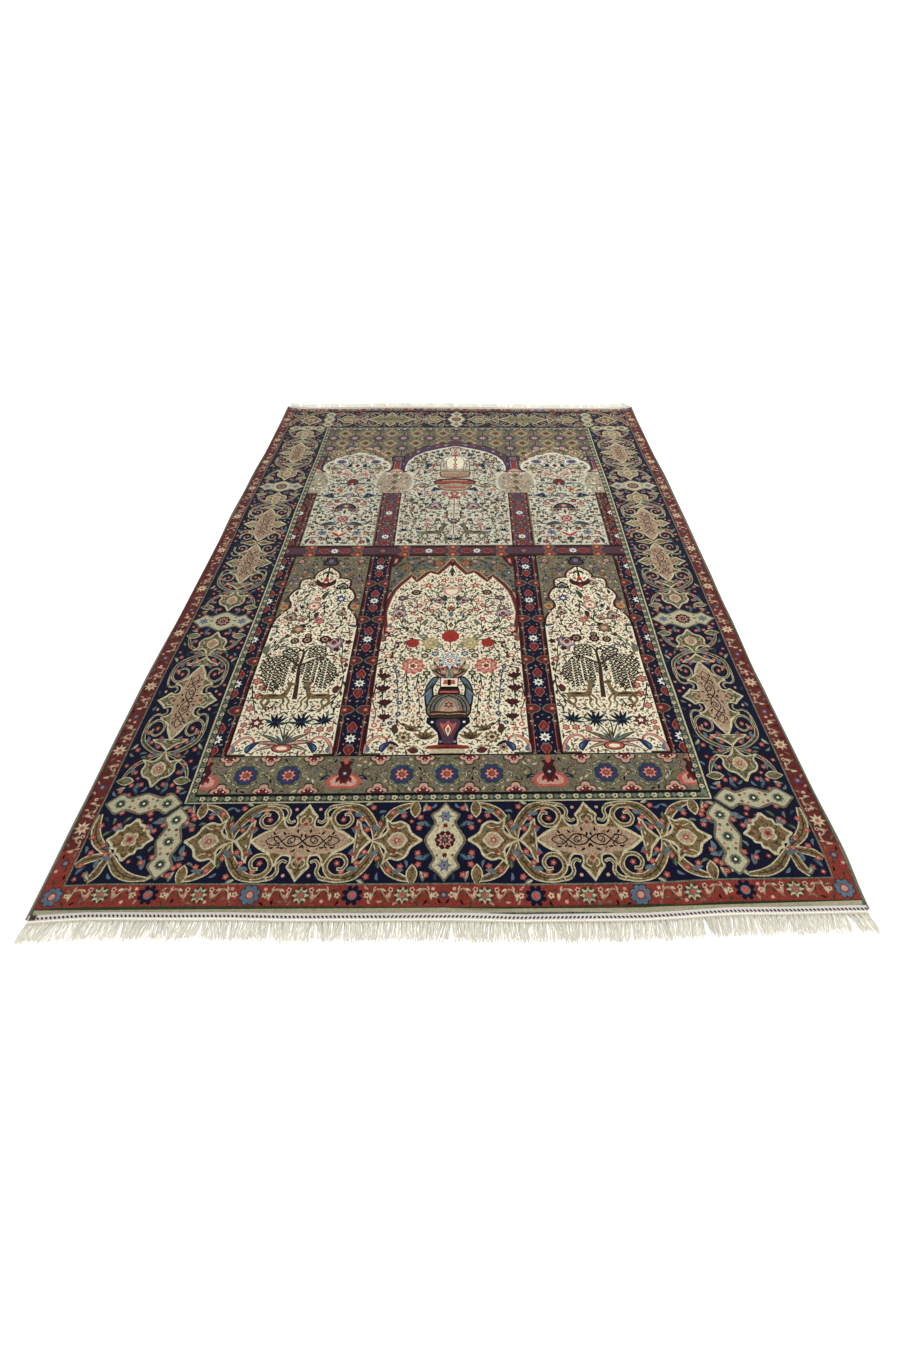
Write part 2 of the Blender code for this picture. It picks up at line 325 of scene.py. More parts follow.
pile_ground = stripe(PILE, "celadon")
for rise in (-0.9, -1.8, -2.7, -3.6):
    lay(box(0.0, PILE[1], PILE[0], rise), "celadon", pile_ground)
    lay(box(0.0, 1200.0 - rise, PILE[0], PILE[2]), "celadon", pile_ground)
for inset in (0.8, 1.8, 3.2):
    lay(box(PILE[0] - inset, PILE[1], PILE[0], PILE[2]), "sage", pile_ground)
# a thin moss line round the pile, where it starts to fall to its edges: painted shade where the pile ends
lay(box(0.0, 0.0, 398.6, 1198.8), "moss", pile_ground)
guard_ground = lay(box(0.0, 1.0, 398.0, 1198.0), "brick", pile_ground)
guard_inner = stripe(GUARD_INNER, "sage")
border_ground = stripe(BORDER_OUTER, "navy")
border_inner = stripe(BORDER_INNER, "cream")

# ----------------------------------------------------------------------------------------
# The borders. A brick guard with rosettes and sprays, then the wide navy border: cartouches
# held by scrolling straps, onion-shaped lobes and four-lobed flowers. A run is drawn along +x,
# with b across it, and stretched to its place. The cartouches carry a plain scrolled flourish.

BORDER_MIDDLE = 70.7         # of the border's width, from the near end
SIDE_BORDER_MIDDLE = 333.0
END_RUN_MIDDLE = 148.6
RUN_BEND = 52.0              # a run stretches by one factor up to here and by another beyond


def four_ways(quarter):
    """Every shape of a quarter and its mirror images across both axes, layer by layer."""
    out = []
    for shape, yarn in quarter:
        shape = np.asarray(shape, complex)
        out += [(shape, yarn), (np.conj(shape), yarn), (-np.conj(shape), yarn), (-shape, yarn)]
    return out


def up_and_down(upper):
    out = []
    for shape, yarn in upper:
        shape = np.asarray(shape, complex)
        out += [(shape, yarn), (np.conj(shape), yarn)]
    return out


def lensed(shape):
    """Joins the upper half of an outline, listed from one end to the other, to its image below."""
    shape = np.asarray(shape, complex)
    return np.concatenate([shape, np.conj(shape[::-1])])


def lens(points):
    """A smooth outline from the points of its upper half, listed from end to end."""
    return lensed(smooth(points, 3))


def even_lens(points):
    """The same from a quarter: the points from the middle of the upper half to its right end."""
    return lens([-complex(point).conjugate() for point in points[:0:-1]] + points)


def stretch(motif, near, far=1.0, across=1.0):
    """A run stretched along itself, by far beyond RUN_BEND, and across."""
    out = []
    for shape, yarn in motif:
        shape = np.asarray(shape, complex)
        a = shape.real
        reach = np.minimum(np.abs(a), RUN_BEND) * near + np.maximum(np.abs(a) - RUN_BEND, 0.0) * far
        out.append((np.sign(a) * reach + 1j * shape.imag * across, yarn))
    return out


def strap(points, widths, slim=1.0):
    """A scrolling strap that swells and narrows along its way, with a pale edge."""
    line = smooth(points, 4)
    share = np.linspace(0.0, 1.0, len(line))
    width = slim * np.interp(share, np.linspace(0.0, 1.0, len(widths)), widths)
    vein = line[2:-2]
    return [(ribbon(line, width + 2.6 * slim), "cream"), (ribbon(line, width), "fawn"),
            (ribbon(vein, 1.2), "brown")]


def sprinkle(spots):
    """Small coral flowers and slate or green leaves on the navy ground."""
    out = []
    for kind, spot, turn in spots:
        spin = cmath.exp(1j * math.radians(turn))
        if kind == "f":
            out += [(lobes(3.7, 5, 0.3) * spin + spot, "russet"), (oval(1.7) + spot, "rose"),
                    (oval(0.8, points=4) + spot, "maroon")]
        else:
            outer, inner = {"s": ("slate", "sage"), "t": ("teal", "slate"), "m": ("moss", "sage"),
                            "w": ("sage", "celadon")}[kind]
            out += [(leaf(12.0, 5.6, 0.5) * spin + spot, outer), (leaf(9.0, 2.2, 0.4) * spin + spot, inner)]
    return out


def run_side(slim):
    """The straps and the lobe to the right of a cartouche."""
    side = strap([30 + 42j, 42 + 42j, 56 + 38j, 66 + 28j, 74 + 14j, 76 + 1j], (2.0, 5.0, 8.4, 8.4, 6.6, 3.4),
                 slim)
    side += strap([114 + 43j, 104 + 40j, 93 + 33j, 84 + 20j, 77 + 4j], (2.4, 5.4, 7.6, 6.0, 3.4), slim)
    side += [(leaf(24, 12, 0.0) * 1j + 116 + 26j, "cream"), (leaf(21, 9.4, 0.0) * 1j + 116 + 28j, "fawn")]
    side = up_and_down(side)
    side += [
        (lensed([54 + 25j, 58 + 24j, 62 + 12j, 72 + 1j]), "cream"),
        (lensed([55.6 + 21j, 57.4 + 20j, 60.5 + 10j, 69 + 0j]), "fawn"),
        (lens([71 + 0.6j, 82 + 5j, 87 + 12j, 85 + 27j, 92 + 21j, 101 + 23j, 110 + 18j, 114 + 9j,
               125 + 1.2j]), "cream"),
        (lens([74 + 0.4j, 84 + 4j, 89 + 12j, 87.4 + 22j, 93 + 18.6j, 101 + 20.5j, 108 + 16j,
               112 + 7j, 121 + 0.6j]), "fawn"),
        (lens([88 + 0.4j, 94 + 8j, 103 + 9j, 110 + 0.4j]), "cream"),
        (lens([90.5 + 0.3j, 95 + 6j, 102.5 + 7j, 107.5 + 0.3j]), "tan"),
        (lobes(3.6, 5, 0.3) + 98.5, "russet"), (oval(1.6) + 98.5, "cream"),
    ]
    side += up_and_down([
        (ribbon(smooth([92 + 16j, 100 + 14j, 106 + 17j], 3), 1.2), "cream"),
        (lobes(2.6, 5, 0.3) + 96 + 13j, "brick"),
        (ribbon(smooth([78 + 3j, 86 + 9j, 90 + 14j], 3), 1.2), "cream"), (oval(1.4) + 105 + 12j, "sage"),
        (leaf(5, 2, 0.3) * 1j + 58.4 + 4j, "cream"),
    ])
    side += up_and_down(sprinkle((
        ("f", 45 + 34.5j, 0), ("s", 50 + 33j, -35), ("f", 59 + 25j, 0), ("t", 60 + 20j, -55),
        ("f", 66 + 13j, 20), ("f", 79.5 + 20j, 0), ("s", 78 + 9j, 95), ("m", 82 + 31j, -110),
        ("f", 70.5 + 39.5j, 0), ("w", 61 + 43j, 10), ("f", 92 + 33j, 0), ("s", 97 + 37j, -50),
        ("f", 104 + 29j, 30), ("f", 122 + 27j, 0), ("s", 118 + 20j, -20), ("f", 121 + 14.5j, 40),
        ("w", 124 + 34j, 45), ("t", 126 + 23j, -70), ("f", 130 + 38j, 0),
    )))
    return side


def cartouche(slim):
    """A cartouche with its curls, round a heart with a flourish."""
    outer_curl = [46 + 40j, 36 + 39j, 29 + 32j, 29 + 24j, 35 + 17j, 44 + 17j, 49 + 24j, 46 + 31j]
    inner_curl = [24 + 40j, 20 + 34j, 21 + 27j, 17 + 22j]
    quarter = [
        (smooth([0 - 1j, 52 - 1j, 50 + 5j, 42 + 11j, 34 + 15j, 30 + 24j, 24 + 29j, 22 + 22j, 18 + 17j,
                 11 + 18j, 10 + 24j, 12 + 29j, 8 + 34j, 5 + 38j, 45j], 3), "cream"),
        (smooth([0 - 1j, 49 - 1j, 46 + 4j, 39 + 9j, 32 + 13j, 28 + 22j, 24.5 + 25j, 24 + 21j, 19 + 15j,
                 10 + 15.5j, 8 + 23j, 9.5 + 29j, 5 + 32j, 3 + 36j, 41j], 3), "fawn"),
        (ribbon(smooth(outer_curl + [40 + 31j]), 6.4 * slim, 3.6 * slim), "cream"),
        (ribbon(smooth(outer_curl + [41 + 31j]), 3.8 * slim, 1.6 * slim), "fawn"),
        (ribbon(smooth([30 + 42j] + inner_curl + [12 + 24j]), 5.0 * slim, 3.0 * slim), "cream"),
        (ribbon(smooth([29 + 41.6j] + inner_curl + [13 + 23.6j]), 2.4 * slim, 1.2 * slim), "fawn"),
        (oval(2.0, points=6) + 22 + 39j, "sage"), (lobes(3.4, 5, 0.3) + 39.5 + 25j, "russet"),
        (oval(1.4) + 39.5 + 25j, "rose"), (oval(2.0, points=6) + 13 + 38j, "rose"),
        (leaf(9, 4, 0.6) * 1j + 54 + 8j, "slate"), (lobes(3.0, 5, 0.3) + 54 + 15j, "russet"),
        (ribbon(smooth([2 + 30j, 6 + 27j, 6 + 22j, 3 + 20j], 3), 1.4), "cream"),
    ]
    return four_ways(quarter) + cartouche_heart + flourish


cartouche_heart = [
    (even_lens([27j, 6 + 17j, 18 + 15j, 30 + 13j, 40 + 8j, 50 + 0.5j]), "tan"),
    (lobes(2.6, 5, 0.3) + 20j, "brick"), (lobes(2.6, 5, 0.3) - 20j, "brick"),
]
# the flourish: a vine with two scrolls each way and small leaves
flourish = []
for turn in (1, -1):
    for side in (1, -1):
        wave = smooth([0j, 6 + 5j * side, 15 + 6j * side, 22 + 0j, 28 - 5j * side, 36 - 3j * side,
                       39 + 1j * side], 4)
        flourish.append((ribbon(wave.real * turn + 1j * wave.imag, 1.7, 1.0), "ink"))
        for hub, reach, roll in ((12 - 1j * side, 5.0, 100), (27 + 2j * side, 4.4, 260)):
            curl = spiral(reach, 0.8 * side, 9, roll) + hub + 2j * side
            flourish.append((ribbon(curl.real * turn + 1j * curl.imag, 1.5, 0.9), "ink"))
        for hub, tilt in ((8 + 9j * side, 60), (20 + 7.5j * side, 20), (31 - 7j * side, -30),
                          (4 - 9j * side, 100)):
            blade = leaf(6, 2.4, 0.4) * cmath.exp(1j * math.radians(tilt * side)) + hub - 2
            flourish.append((blade.real * turn + 1j * blade.imag, "ink"))
        flourish.append((oval(1.1) + turn * 34 + 6j * side, "madder"))
        flourish.append((oval(1.1) + turn * 16 - 9j * side, "moss"))

pale_cross = [(shape * 1j, yarn) for shape, yarn in [
    (even_lens([14j, 8 + 12j, 18 + 9j, 27 + 14j, 34 + 9j, 43 + 0.5j]), "olive"),
    (even_lens([12j, 8 + 9j, 18 + 6j, 27 + 11j, 32 + 8j, 40 + 0.5j]), "celadon"),
] + copies(lobes(6.2, 8, 0.2), "sage", (-26, 0, 26)) + copies(oval(4.0, points=8), "moss", (-26, 0, 26))
  + copies(oval(1.6), "white", (-26, 0, 26))
  + copies(oval(2.0, points=6), "fawn", (-14 - 4j, -14 + 4j, 14 - 4j, 14 + 4j))
  + copies(oval(1.6), "coral", (-8 - 6j, -8 + 6j, 8 - 6j, 8 + 6j))]
quatrefoil = [(shape * 1j, yarn) for shape, yarn in [
    (even_lens([22j, 12 + 16j, 21 + 12j, 30 + 16j, 36 + 8j, 45 + 0.5j]), "olive"),
    (even_lens([19j, 12 + 13j, 21 + 9j, 29 + 13j, 34 + 7j, 42 + 0.5j]), "cream"),
    (lobes(11, 10, 0.14), "maroon"), (star(9, 5, 8), "rose"), (star(7.4, 3, 8), "maroon"),
    (oval(2.2, points=6), "sage"),
] + copies(star(8.2, 4.2, 6), "slate", (-28, 28)) + copies(star(4.6, 2.2, 6), "lilac", (-28, 28))
  + copies(oval(1.6), "plum", (-28, 28))
  + [(leaf(6, 3) + 14 - 1j, "madder"), (leaf(6, 3) * -1 - 14 - 1j, "madder")]
  + copies(oval(1.7), "fawn", (-17 - 8j, -17 + 8j, 17 - 8j, 17 + 8j))]


def set_run(centre, near, far, upright, lobes_on=(1, -1), across=1.0, slim=1.0, dyes=None):
    """A cartouche with its straps and lobes, along an end or up a side."""
    dyes = dyes or {}
    spin = 1j if upright else 1
    sides = [[(shape if turn > 0 else -np.conj(shape), yarn) for shape, yarn in run_side(slim)]
             for turn in lobes_on]
    for motif in sides + [cartouche(slim)]:
        run = [(shape * spin, yarn) for shape, yarn in stretch(motif, near, far, across)]
        put(redyed(run, dyes), centre, clip=border_ground)


# yarns that stand in for others in the runs of the sides and the far end
LOWER_DYES = {"fawn": "khaki"}
UPPER_DYES = {"fawn": "straw"}
OLIVE_DYES = {"fawn": "khaki", "tan": "straw"}
FAR_BORDER_SHIFT = 9.0       # squares by which the far border lies nearer to its end
TOP_MIDDLE = SQUARES_ALONG + FAR_BORDER_SHIFT - BORDER_MIDDLE
set_run(END_RUN_MIDDLE + BORDER_MIDDLE * 1j, 1.0, 1.0, False)
set_run(END_RUN_MIDDLE + TOP_MIDDLE * 1j, 1.0, 1.0, False, across=0.84, slim=0.6, dyes=OLIVE_DYES)
for height, near, far, sides in (
    (272, 1.18, 0.98, (1, -1)), (575, 1.0, 0.98, (-1,)), (692, 0.98, 0.86, (1,)), (970, 0.84, 1.02, (1, -1)),
):
    dyes = LOWER_DYES if height < 600 else UPPER_DYES
    set_run(SIDE_BORDER_MIDDLE + height * 1j, near, far, True, sides, 0.86, 0.56, dyes)
RUNS_MEET = 633.5j           # halfway up a side, where its two middle runs meet
for turn in (-1, 1):
    put(up_and_down(sprinkle((("f", 36 + 30j, 0), ("s", 30 + 38j, 0), ("f", 22 + 40j, 30)))),
        SIDE_BORDER_MIDDLE + RUNS_MEET, turn=90 + 90 * (turn < 0), clip=border_ground)
    put([(lensed([0.5j, 8 + 8j, 22 + 3j, 30 + 0.5j]), "cream"),
         (lensed([3 + 0.4j, 9 + 5.5j, 21 + 1.6j, 27 + 0.4j]), "fawn")],
        SIDE_BORDER_MIDDLE + RUNS_MEET, turn=0 if turn > 0 else 180, clip=border_ground)
put(quatrefoil, BORDER_MIDDLE * 1j, clip=border_ground)
put(quatrefoil, TOP_MIDDLE * 1j, clip=border_ground)
for height in (428, 828):
    put(redyed(quatrefoil, {"cream": "celadon"}), SIDE_BORDER_MIDDLE + height * 1j, turn=90,
        clip=border_ground)

# corners
corner_quarter = sprinkle((
    ("f", -14 + 18j, 0), ("f", -4 + 24j, 30), ("s", -22 + 10j, 40), ("t", -8 + 14j, 60), ("f", 17 + 20j, 0),
    ("s", 12 + 10j, 50), ("f", 36 + 20j, 0), ("m", 30 + 6j, 110), ("f", 40 + 6j, 20), ("f", 30 - 36j, 0),
    ("s", 22 - 30j, 60), ("f", 39 - 26j, 0), ("t", 40 - 36j, 100), ("f", 34 - 12j, 0), ("w", 24 - 42j, 30),
))
corner_medallion = four_ways([
    (smooth([0 - 1j, 25 - 1j, 19 + 6j, 17 + 11j, 12 + 12j, 11 + 17j, 6 + 19j, 25j, -1 - 1j], 3), "cream")])
corner_medallion += four_ways([
    (smooth([0 - 1j, 21 - 1j, 16 + 5j, 14.6 + 9j, 9.8 + 10j, 9 + 14.6j, 5 + 16j, 21j, -1 - 1j], 3), "fawn")])
corner_medallion += [(lobes(9.5, 4, 0.35, 4), "cream"), (lobes(7.6, 4, 0.35, 4), "tan"),
                     (lobes(4.0, 5, 0.3), "russet"), (oval(1.6), "moss")]
corner_medallion += four_ways([(leaf(5, 2, 0.6) + 8 + 5j, "moss"), (oval(1.4) + 13 + 2j, "coral")])
for level, flip in ((BORDER_MIDDLE, 1), (TOP_MIDDLE, -1)):
    corner_at = SIDE_BORDER_MIDDLE + level * 1j

    def corner(motif, at, turn=0.0):
        spin = cmath.exp(1j * math.radians(turn))
        placed = [(np.asarray(shape) * spin + at, yarn) for shape, yarn in motif]
        put([(shape if flip > 0 else np.conj(shape), yarn) for shape, yarn in placed], corner_at,
            clip=border_ground)

    corner(strap([42 + 34j, 40 + 16j, 33 + 2j, 22 - 8j, 14 - 14j], (2.0, 7.0, 9.0, 7.0, 3.0)), 0)
    corner(strap([-34 - 42j, -16 - 40j, -2 - 33j, 8 - 22j, 14 - 14j], (2.0, 7.0, 9.0, 7.0, 3.0)), 0)
    corner(strap([44 - 26j, 36 - 20j, 26 - 17j, 14 - 14j], (3.0, 7.0, 6.0, 3.0)), 0)
    corner(strap([26 - 44j, 20 - 36j, 17 - 26j, 14 - 14j], (3.0, 7.0, 6.0, 3.0)), 0)
    corner(corner_quarter, 0)
    corner([(1j * np.conj(shape), yarn) for shape, yarn in corner_quarter], 0)
    corner(sprinkle((("f", -32 - 18j, 0), ("s", -26 - 32j, 60), ("f", -22 - 24j, 0), ("m", -34 - 34j, 80),
                     ("f", -31 + 20j, 0), ("s", -22 + 24j, 140), ("f", -23 + 13j, 0), ("f", -58 - 30j, 0),
                     ("f", -56 + 22j, 0), ("s", -62 - 16j, 60), ("f", -60 + 32j, 0), ("f", 22 + 58j, 0),
                     ("f", -24 + 58j, 0), ("w", -30 + 40j, 120), ("w", -50 - 40j, 60), ("w", -34 - 44j, 110),
                     ("w", -44 + 38j, 130))), 0)
    corner(pale_cross, -43 + 0j)
    corner(pale_cross, 47j, 90)
    corner(corner_medallion, -1 + 3j)

# outer guard
side_brick = lay(box(GUARD_INNER[0], 62, 398.0, 1197.6), "madder", guard_ground)
guard_rosettes = {
    "slate": [(lobes(11.2, 8, 0.2, 4), "ink"), (lobes(10.4, 8, 0.24, 4), "slate"),
              (lobes(5.0, 8, 0.2), "brick"), (oval(3.4, points=7), "rose")],
    "navy": [(lobes(10.8, 8, 0.36, 4), "navy"), (oval(5.0, points=8), "slate"),
             (oval(3.8, points=8), "coral")],
    "cream": [(star(8.8, 4.4, 8), "cream"), (oval(2.6, points=6), "coral")],
    "plum": [(lobes(5.2, 6, 0.25), "plum"), (oval(2.2, points=6), "lilac")],
}
guard_palmette = [
    (star(10.0, 6.0, 8, 22), "moss"), (star(8.6, 5.0, 8, 0), "cream"), (star(6.4, 3.6, 6, 30), "sage"),
    (oval(3.0, points=6), "coral"),
]
guard_spray = twig(smooth([-10 - 5j, -7 + 4j, -1 + 6j, 3 + 0j, 8 - 3j, 10 + 4j], 4), 1.8, "tan",
                   ("cream", "moss", "rose", "olive"), 3.6, 6.0)
guard_spray += [(lobes(3.0, 5, 0.35) + 9 + 5.5j, "rose"), (oval(1.3) + 9 + 5.5j, "maroon"),
                (leaf(6, 2.6, 0.7) * cmath.exp(3.6j) - 8 + 1j, "cream")]
guard_floret = [(lobes(3.4, 5, 0.35), "cream"), (oval(1.2), "brick")]


def guard_row(spots, upright, level, clip):
    """Flowers along a guard, from rows of kind, place along it, size and the side they face."""
    for kind, along, size, side in spots:
        motif = guard_rosettes.get(kind) or {"p": guard_palmette, "s": guard_spray, "f": guard_floret}[kind]
        at = level + along * 1j if upright else along + level * 1j
        put(motif, at, size, 90 if upright else 0, clip, flip=side < 0)


for level in (12.4, 1195.0):
    guard_row((
        ("navy", 89.4, 1, 1), ("slate", 190, 1, 1), ("navy", 291, 1, 1), ("slate", 386, 0.95, 1),
        ("p", 40, 1, 1), ("p", 140, 1, 1), ("p", 240.5, 1, 1), ("p", 339, 1, 1), ("s", 22, 1, 1),
        ("s", 61, 1, -1), ("s", 121, 1, 1), ("s", 161, 1, -1), ("s", 220, 1, 1), ("s", 262, 1, -1),
        ("s", 318, 1, 1), ("s", 359, 1, -1), ("f", 8, 1, 1), ("f", 75, 1, 1), ("f", 104, 1, 1),
        ("f", 175, 1, 1), ("f", 205, 1, 1), ("f", 276, 1, 1), ("f", 306, 1, 1), ("f", 372, 0.8, 1),
        ("plum", 0, 0.9, 1),
    ), False, level, guard_ground)
side_spots = []
for k in range(10):
    height = 192 + 105 * k
    side_spots += [("cream", height, 1, 1), ("plum", height - 52, 1, 1), ("s", height - 30, 0.9, 1),
                   ("s", height + 26, 0.9, -1), ("f", height - 68, 0.7, 1), ("f", height + 14, 0.6, 1)]
side_spots += [("plum", 48, 1, 1), ("s", 70, 0.9, 1), ("cream", 88, 1, 1), ("s", 110, 0.9, -1)]
guard_row(side_spots, True, 388.6, guard_ground)

# inner guard: small tulips between green triangles
lay(box(0, 117.0, 288.0, 1092.0), "cream", border_inner)
inner_guard = lay(box(0, 118.2, 286.2, 1090.2), "sage", border_inner)
lay(box(0, 119.2, 285.8, 1089.8), "ink", inner_guard)
lay(box(0, 120.0, 285.2, 1089.2), "sage", inner_guard)
tulip = [
    ([-6.8 - 3.4j, 3.4j, 6.8 - 3.4j], "moss"), (lobes(3.5, 5, 0.3) - 0.2j, "cream"),
    (oval(1.3) - 0.2j, "moss"), ([-6.8 + 3.4j, -4.4 + 0.4j, -2.2 + 3.4j], "teal"),
    ([6.8 + 3.4j, 4.4 + 0.4j, 2.2 + 3.4j], "teal"),
]
for step in range(20):
    put(tulip, step * 14.2 + 123.2j, clip=inner_guard)
    put(tulip, step * 14.2 + 1085.6j, turn=180, clip=inner_guard)
for step in range(67):
    put(tulip, 281.6 + (134.0 + step * 14.2) * 1j, 0.9, 90, inner_guard)
    put([(oval(1.3), "ink")], 282.4 + (141.0 + step * 14.2) * 1j, clip=inner_guard)
lay(box(0, FIELD[1] - 1.2, FIELD[0] + 1.2, FIELD[2] + 1.2), "ink", inner_guard)

field_ground = stripe(FIELD, "olive")
field_upper = stripe((FIELD[0], BAR_BOTTOM, FIELD[2]), "olive")

# ----------------------------------------------------------------------------------------
# The lower field: a rosette band, three ivory panels under lobed arches, the columns between
# them, and the bar above. The middle panel holds a vase of flowers, the side ones a willow.

SIDE_MIDDLE = 197.0          # upright middle line of a side panel
COLUMN_MIDDLE = 116.2
EDGE_COLUMN_MIDDLE = 277.0   # of the column that the field's edge cuts
SIDE_PANEL = (134, 259)
COLUMN_HALF = 17.7
PANEL_FOOT = 182.0
PANEL_HEAD = BAR_BOTTOM

band_ground = lay(box(0, FIELD[1], FIELD[0], PANEL_FOOT), "olive", field_ground)
lay(box(0, FIELD[1], FIELD[0], FIELD[1] + 2.2), "ink", band_ground)
lay(box(0, PANEL_FOOT - 1.6, FIELD[0], PANEL_FOOT), "ink", band_ground)

ringed_rosette = [
    (lobes(14.0, 8, 0.14, 5), "moss"), (lobes(12.6, 8, 0.14, 5), "blue"), (lobes(8.8, 8, 0.2, 5), "madder"),
    (star(8.0, 5.0, 8), "rose"), (lobes(4.6, 8, 0.2), "red"), (oval(2.4, points=8), "olive"),
]
edge_fan = [
    (rounded([8 + 0j, 13 + 2j, 11 + 7j, 6 + 8j, 5 + 13j, 15j]), "moss"),
    (rounded([7 + 0j, 11 + 2j, 9 + 6j, 5 + 7j, 4 + 11j, 13j]), "rose"),
    (rounded([6 + 0j, 8 + 2j, 4 + 5j, 9.5j]), "madder"),
    (oval(1.1) + 4 + 3j, "white"), (oval(1.1) - 4 + 3j, "white"),
    (oval(1.3) + 6j, "rose"),
]
for at in (0, 51, 180, 229):
    put(ringed_rosette, at + 154j, clip=band_ground)
for at in (25.5, 77, 154.5, 205, 253):
    put(edge_fan, at + (FIELD[1] + 2.2) * 1j, clip=band_ground)
    put(edge_fan, at + (PANEL_FOOT - 1.6) * 1j, turn=180, clip=band_ground)
for at in (25.5, 205, 253):
    put([(star(5.5, 2.0, 4), "moss"), (oval(1.6, points=6), "gold")], at + 154.5j, clip=band_ground)
for at in (0, 51, 180, 229):
    for side in (1, -1):
        for tilt in (58, 122, 238, 302):
            hub = at + 154j + 14.5 * cmath.exp(1j * math.radians(tilt))
            put([(leaf(9.0, 3.2, 0.9 * side), "moss"), (leaf(6.0, 1.6, 0.9 * side) + 1, "celadon")], hub,
                turn=tilt + 40 * side, clip=band_ground)
        put([(ribbon(spiral(4.6, 0.75 * side, 9, 200), 2.6, 1.6), "navy"),
             (ribbon(spiral(4.6, 0.75 * side, 9, 200), 1.2, 0.8), "cream")],
            at + side * 19 + 154j, turn=90 * side, clip=band_ground)
for turn in (-1, 1):
    curl = [(ribbon(spiral(9.0, 0.8 * turn, 12, 90), 1.6, 1.0), "moss"), (oval(2.0, points=6), "gold")]
    put(curl, COLUMN_MIDDLE + turn * 27 + 155j, clip=band_ground)
    put([(leaf(12, 7, -1.4 * turn), "navy"), (leaf(7, 2.5, -1.4 * turn) + 1.5, "slate")],
        COLUMN_MIDDLE + turn * 16 + 148j, turn=90 - turn * 22, clip=band_ground)


# Columns: pointed cartouches on navy, each with a white star between two red palmettes
column_star = [(star(8.4, 4.8, 8), "ink"), (star(7.6, 4.2, 8), "white"), (oval(2.6, points=8), "sage")]
column_palmette = [
    (rounded([0 - 1j, 5 + 3j, 6.5 + 8j, 3.5 + 13j, 19j]), "coral"),
    (rounded([0j, 4.2 + 3.5j, 5.4 + 8j, 2.6 + 12.5j, 17j]), "madder"),
    (rounded([3j, 2.4 + 6j, 1.5 + 10j, 13j], 2), "brick"),
]
column_lobe = [
    (rounded([0 - 13j, 3 - 8j, 8 - 6j, 12.6 + 0j, 8 + 6j, 3 + 8j]), "sage"),
    (rounded([0 - 11j, 2 - 7j, 7 - 5j, 11 + 0j, 7 + 5j, 2 + 7j]), "brick"),
    (lobes(3.8, 4, 0.3), "orange"), (oval(1.6), "celadon"),
]
column_grounds = []          # what the infill of the columns may cover


def column(middle, half, bottom, top, stars, ground, clip, lobe_yarns=("madder", "russet")):
    """An upright column with stars at the given heights and side lobes halfway between them."""
    strip = lay(box(middle - half, bottom, middle + half, top), "ink", clip)
    lay(box(middle - half + 1.4, bottom, middle + half - 1.4, top), "maroon", strip)
    lay(box(middle - half + 4.2, bottom, middle + half - 4.2, top), "coral", strip)
    core = lay(box(middle - half + 5.0, bottom, middle + half - 5.0, top), ground, strip)
    column_grounds.extend((strip + 1, core))
    gaps = [(a + b) / 2.0 for a, b in zip(stars, stars[1:])]
    step = stars[1] - stars[0]
    for height in [stars[0] - step / 2.0] + gaps + [stars[-1] + step / 2.0]:
        for turn in (-1, 1):
            lobe = redyed(column_lobe, {"brick": lobe_yarns[0], "orange": lobe_yarns[1]})
            put(lobe, middle + turn * (half - 4.6) + height * 1j, clip=strip)
            for rise in (-1, 1):
                tendril = smooth([turn * (half - 3) + 14j * rise, turn * (half - 6) + 20j * rise,
                                  turn * (half - 2.6) + 27j * rise], 3)
                put([(ribbon(tendril, 1.3), "sage"), (oval(1.7) + turn * (half - 3) + 21j * rise, "rose")],
                    middle + height * 1j, clip=strip)
    for height in stars:
        put(column_star, middle + height * 1j, clip=core)
        put(column_palmette, middle + (height + 9.5) * 1j, clip=core)
        put(column_palmette, middle + (height - 9.5) * 1j, turn=180, clip=core)
        for turn in (-1, 1):
            for rise in (-15, 15):
                put([(leaf(7, 2.2, 0.8 * turn * rise / 15), "slate")],
                    middle + turn * 4 + (height + rise * 0.55) * 1j, turn=90 * rise / 15 - turn * 25,
                    clip=core)
    return strip


COLUMN_STARS = (207, 300, 387, 474, 561)
column(COLUMN_MIDDLE, COLUMN_HALF, PANEL_FOOT, PANEL_HEAD, COLUMN_STARS, "navy", field_ground)
edge_strip = lay(box(SIDE_PANEL[1], PANEL_FOOT, FIELD[0], PANEL_HEAD), "ink", field_ground)
column(EDGE_COLUMN_MIDDLE, COLUMN_HALF, PANEL_FOOT, PANEL_HEAD, COLUMN_STARS, "navy", edge_strip)

column_foot = [
    (rounded([0 - 22j, 14 - 22j, 20 - 12j, 12 - 4j, 0 - 1j], 4), "coral"),
    (rounded([0 - 19j, 12 - 19j, 15 - 12j, 9 - 6j, 0 - 3j], 4), "rose"),
    (mirrored([0 - 15j, 3 - 17j, 5 - 12j, 9 - 15j, 9 - 9j, 5 - 5j, 0 - 3j]), "madder"),
    (rounded([0 - 14j, 6 - 6j, 8 + 2j, 5 + 8j, 8 + 14j, 3 + 15j, 12j]), "maroon"),
    (oval(2.6, points=7) - 2j, "slate"), (oval(1.2) - 2j, "white"),
    (mirrored([10j, 3 + 13j, 1.5 + 15j, 4 + 18j, 22j]), "coral"),
]
put(column_foot, COLUMN_MIDDLE + 158j, clip=field_ground)
put(column_foot, FIELD[0] + 158j, clip=band_ground)

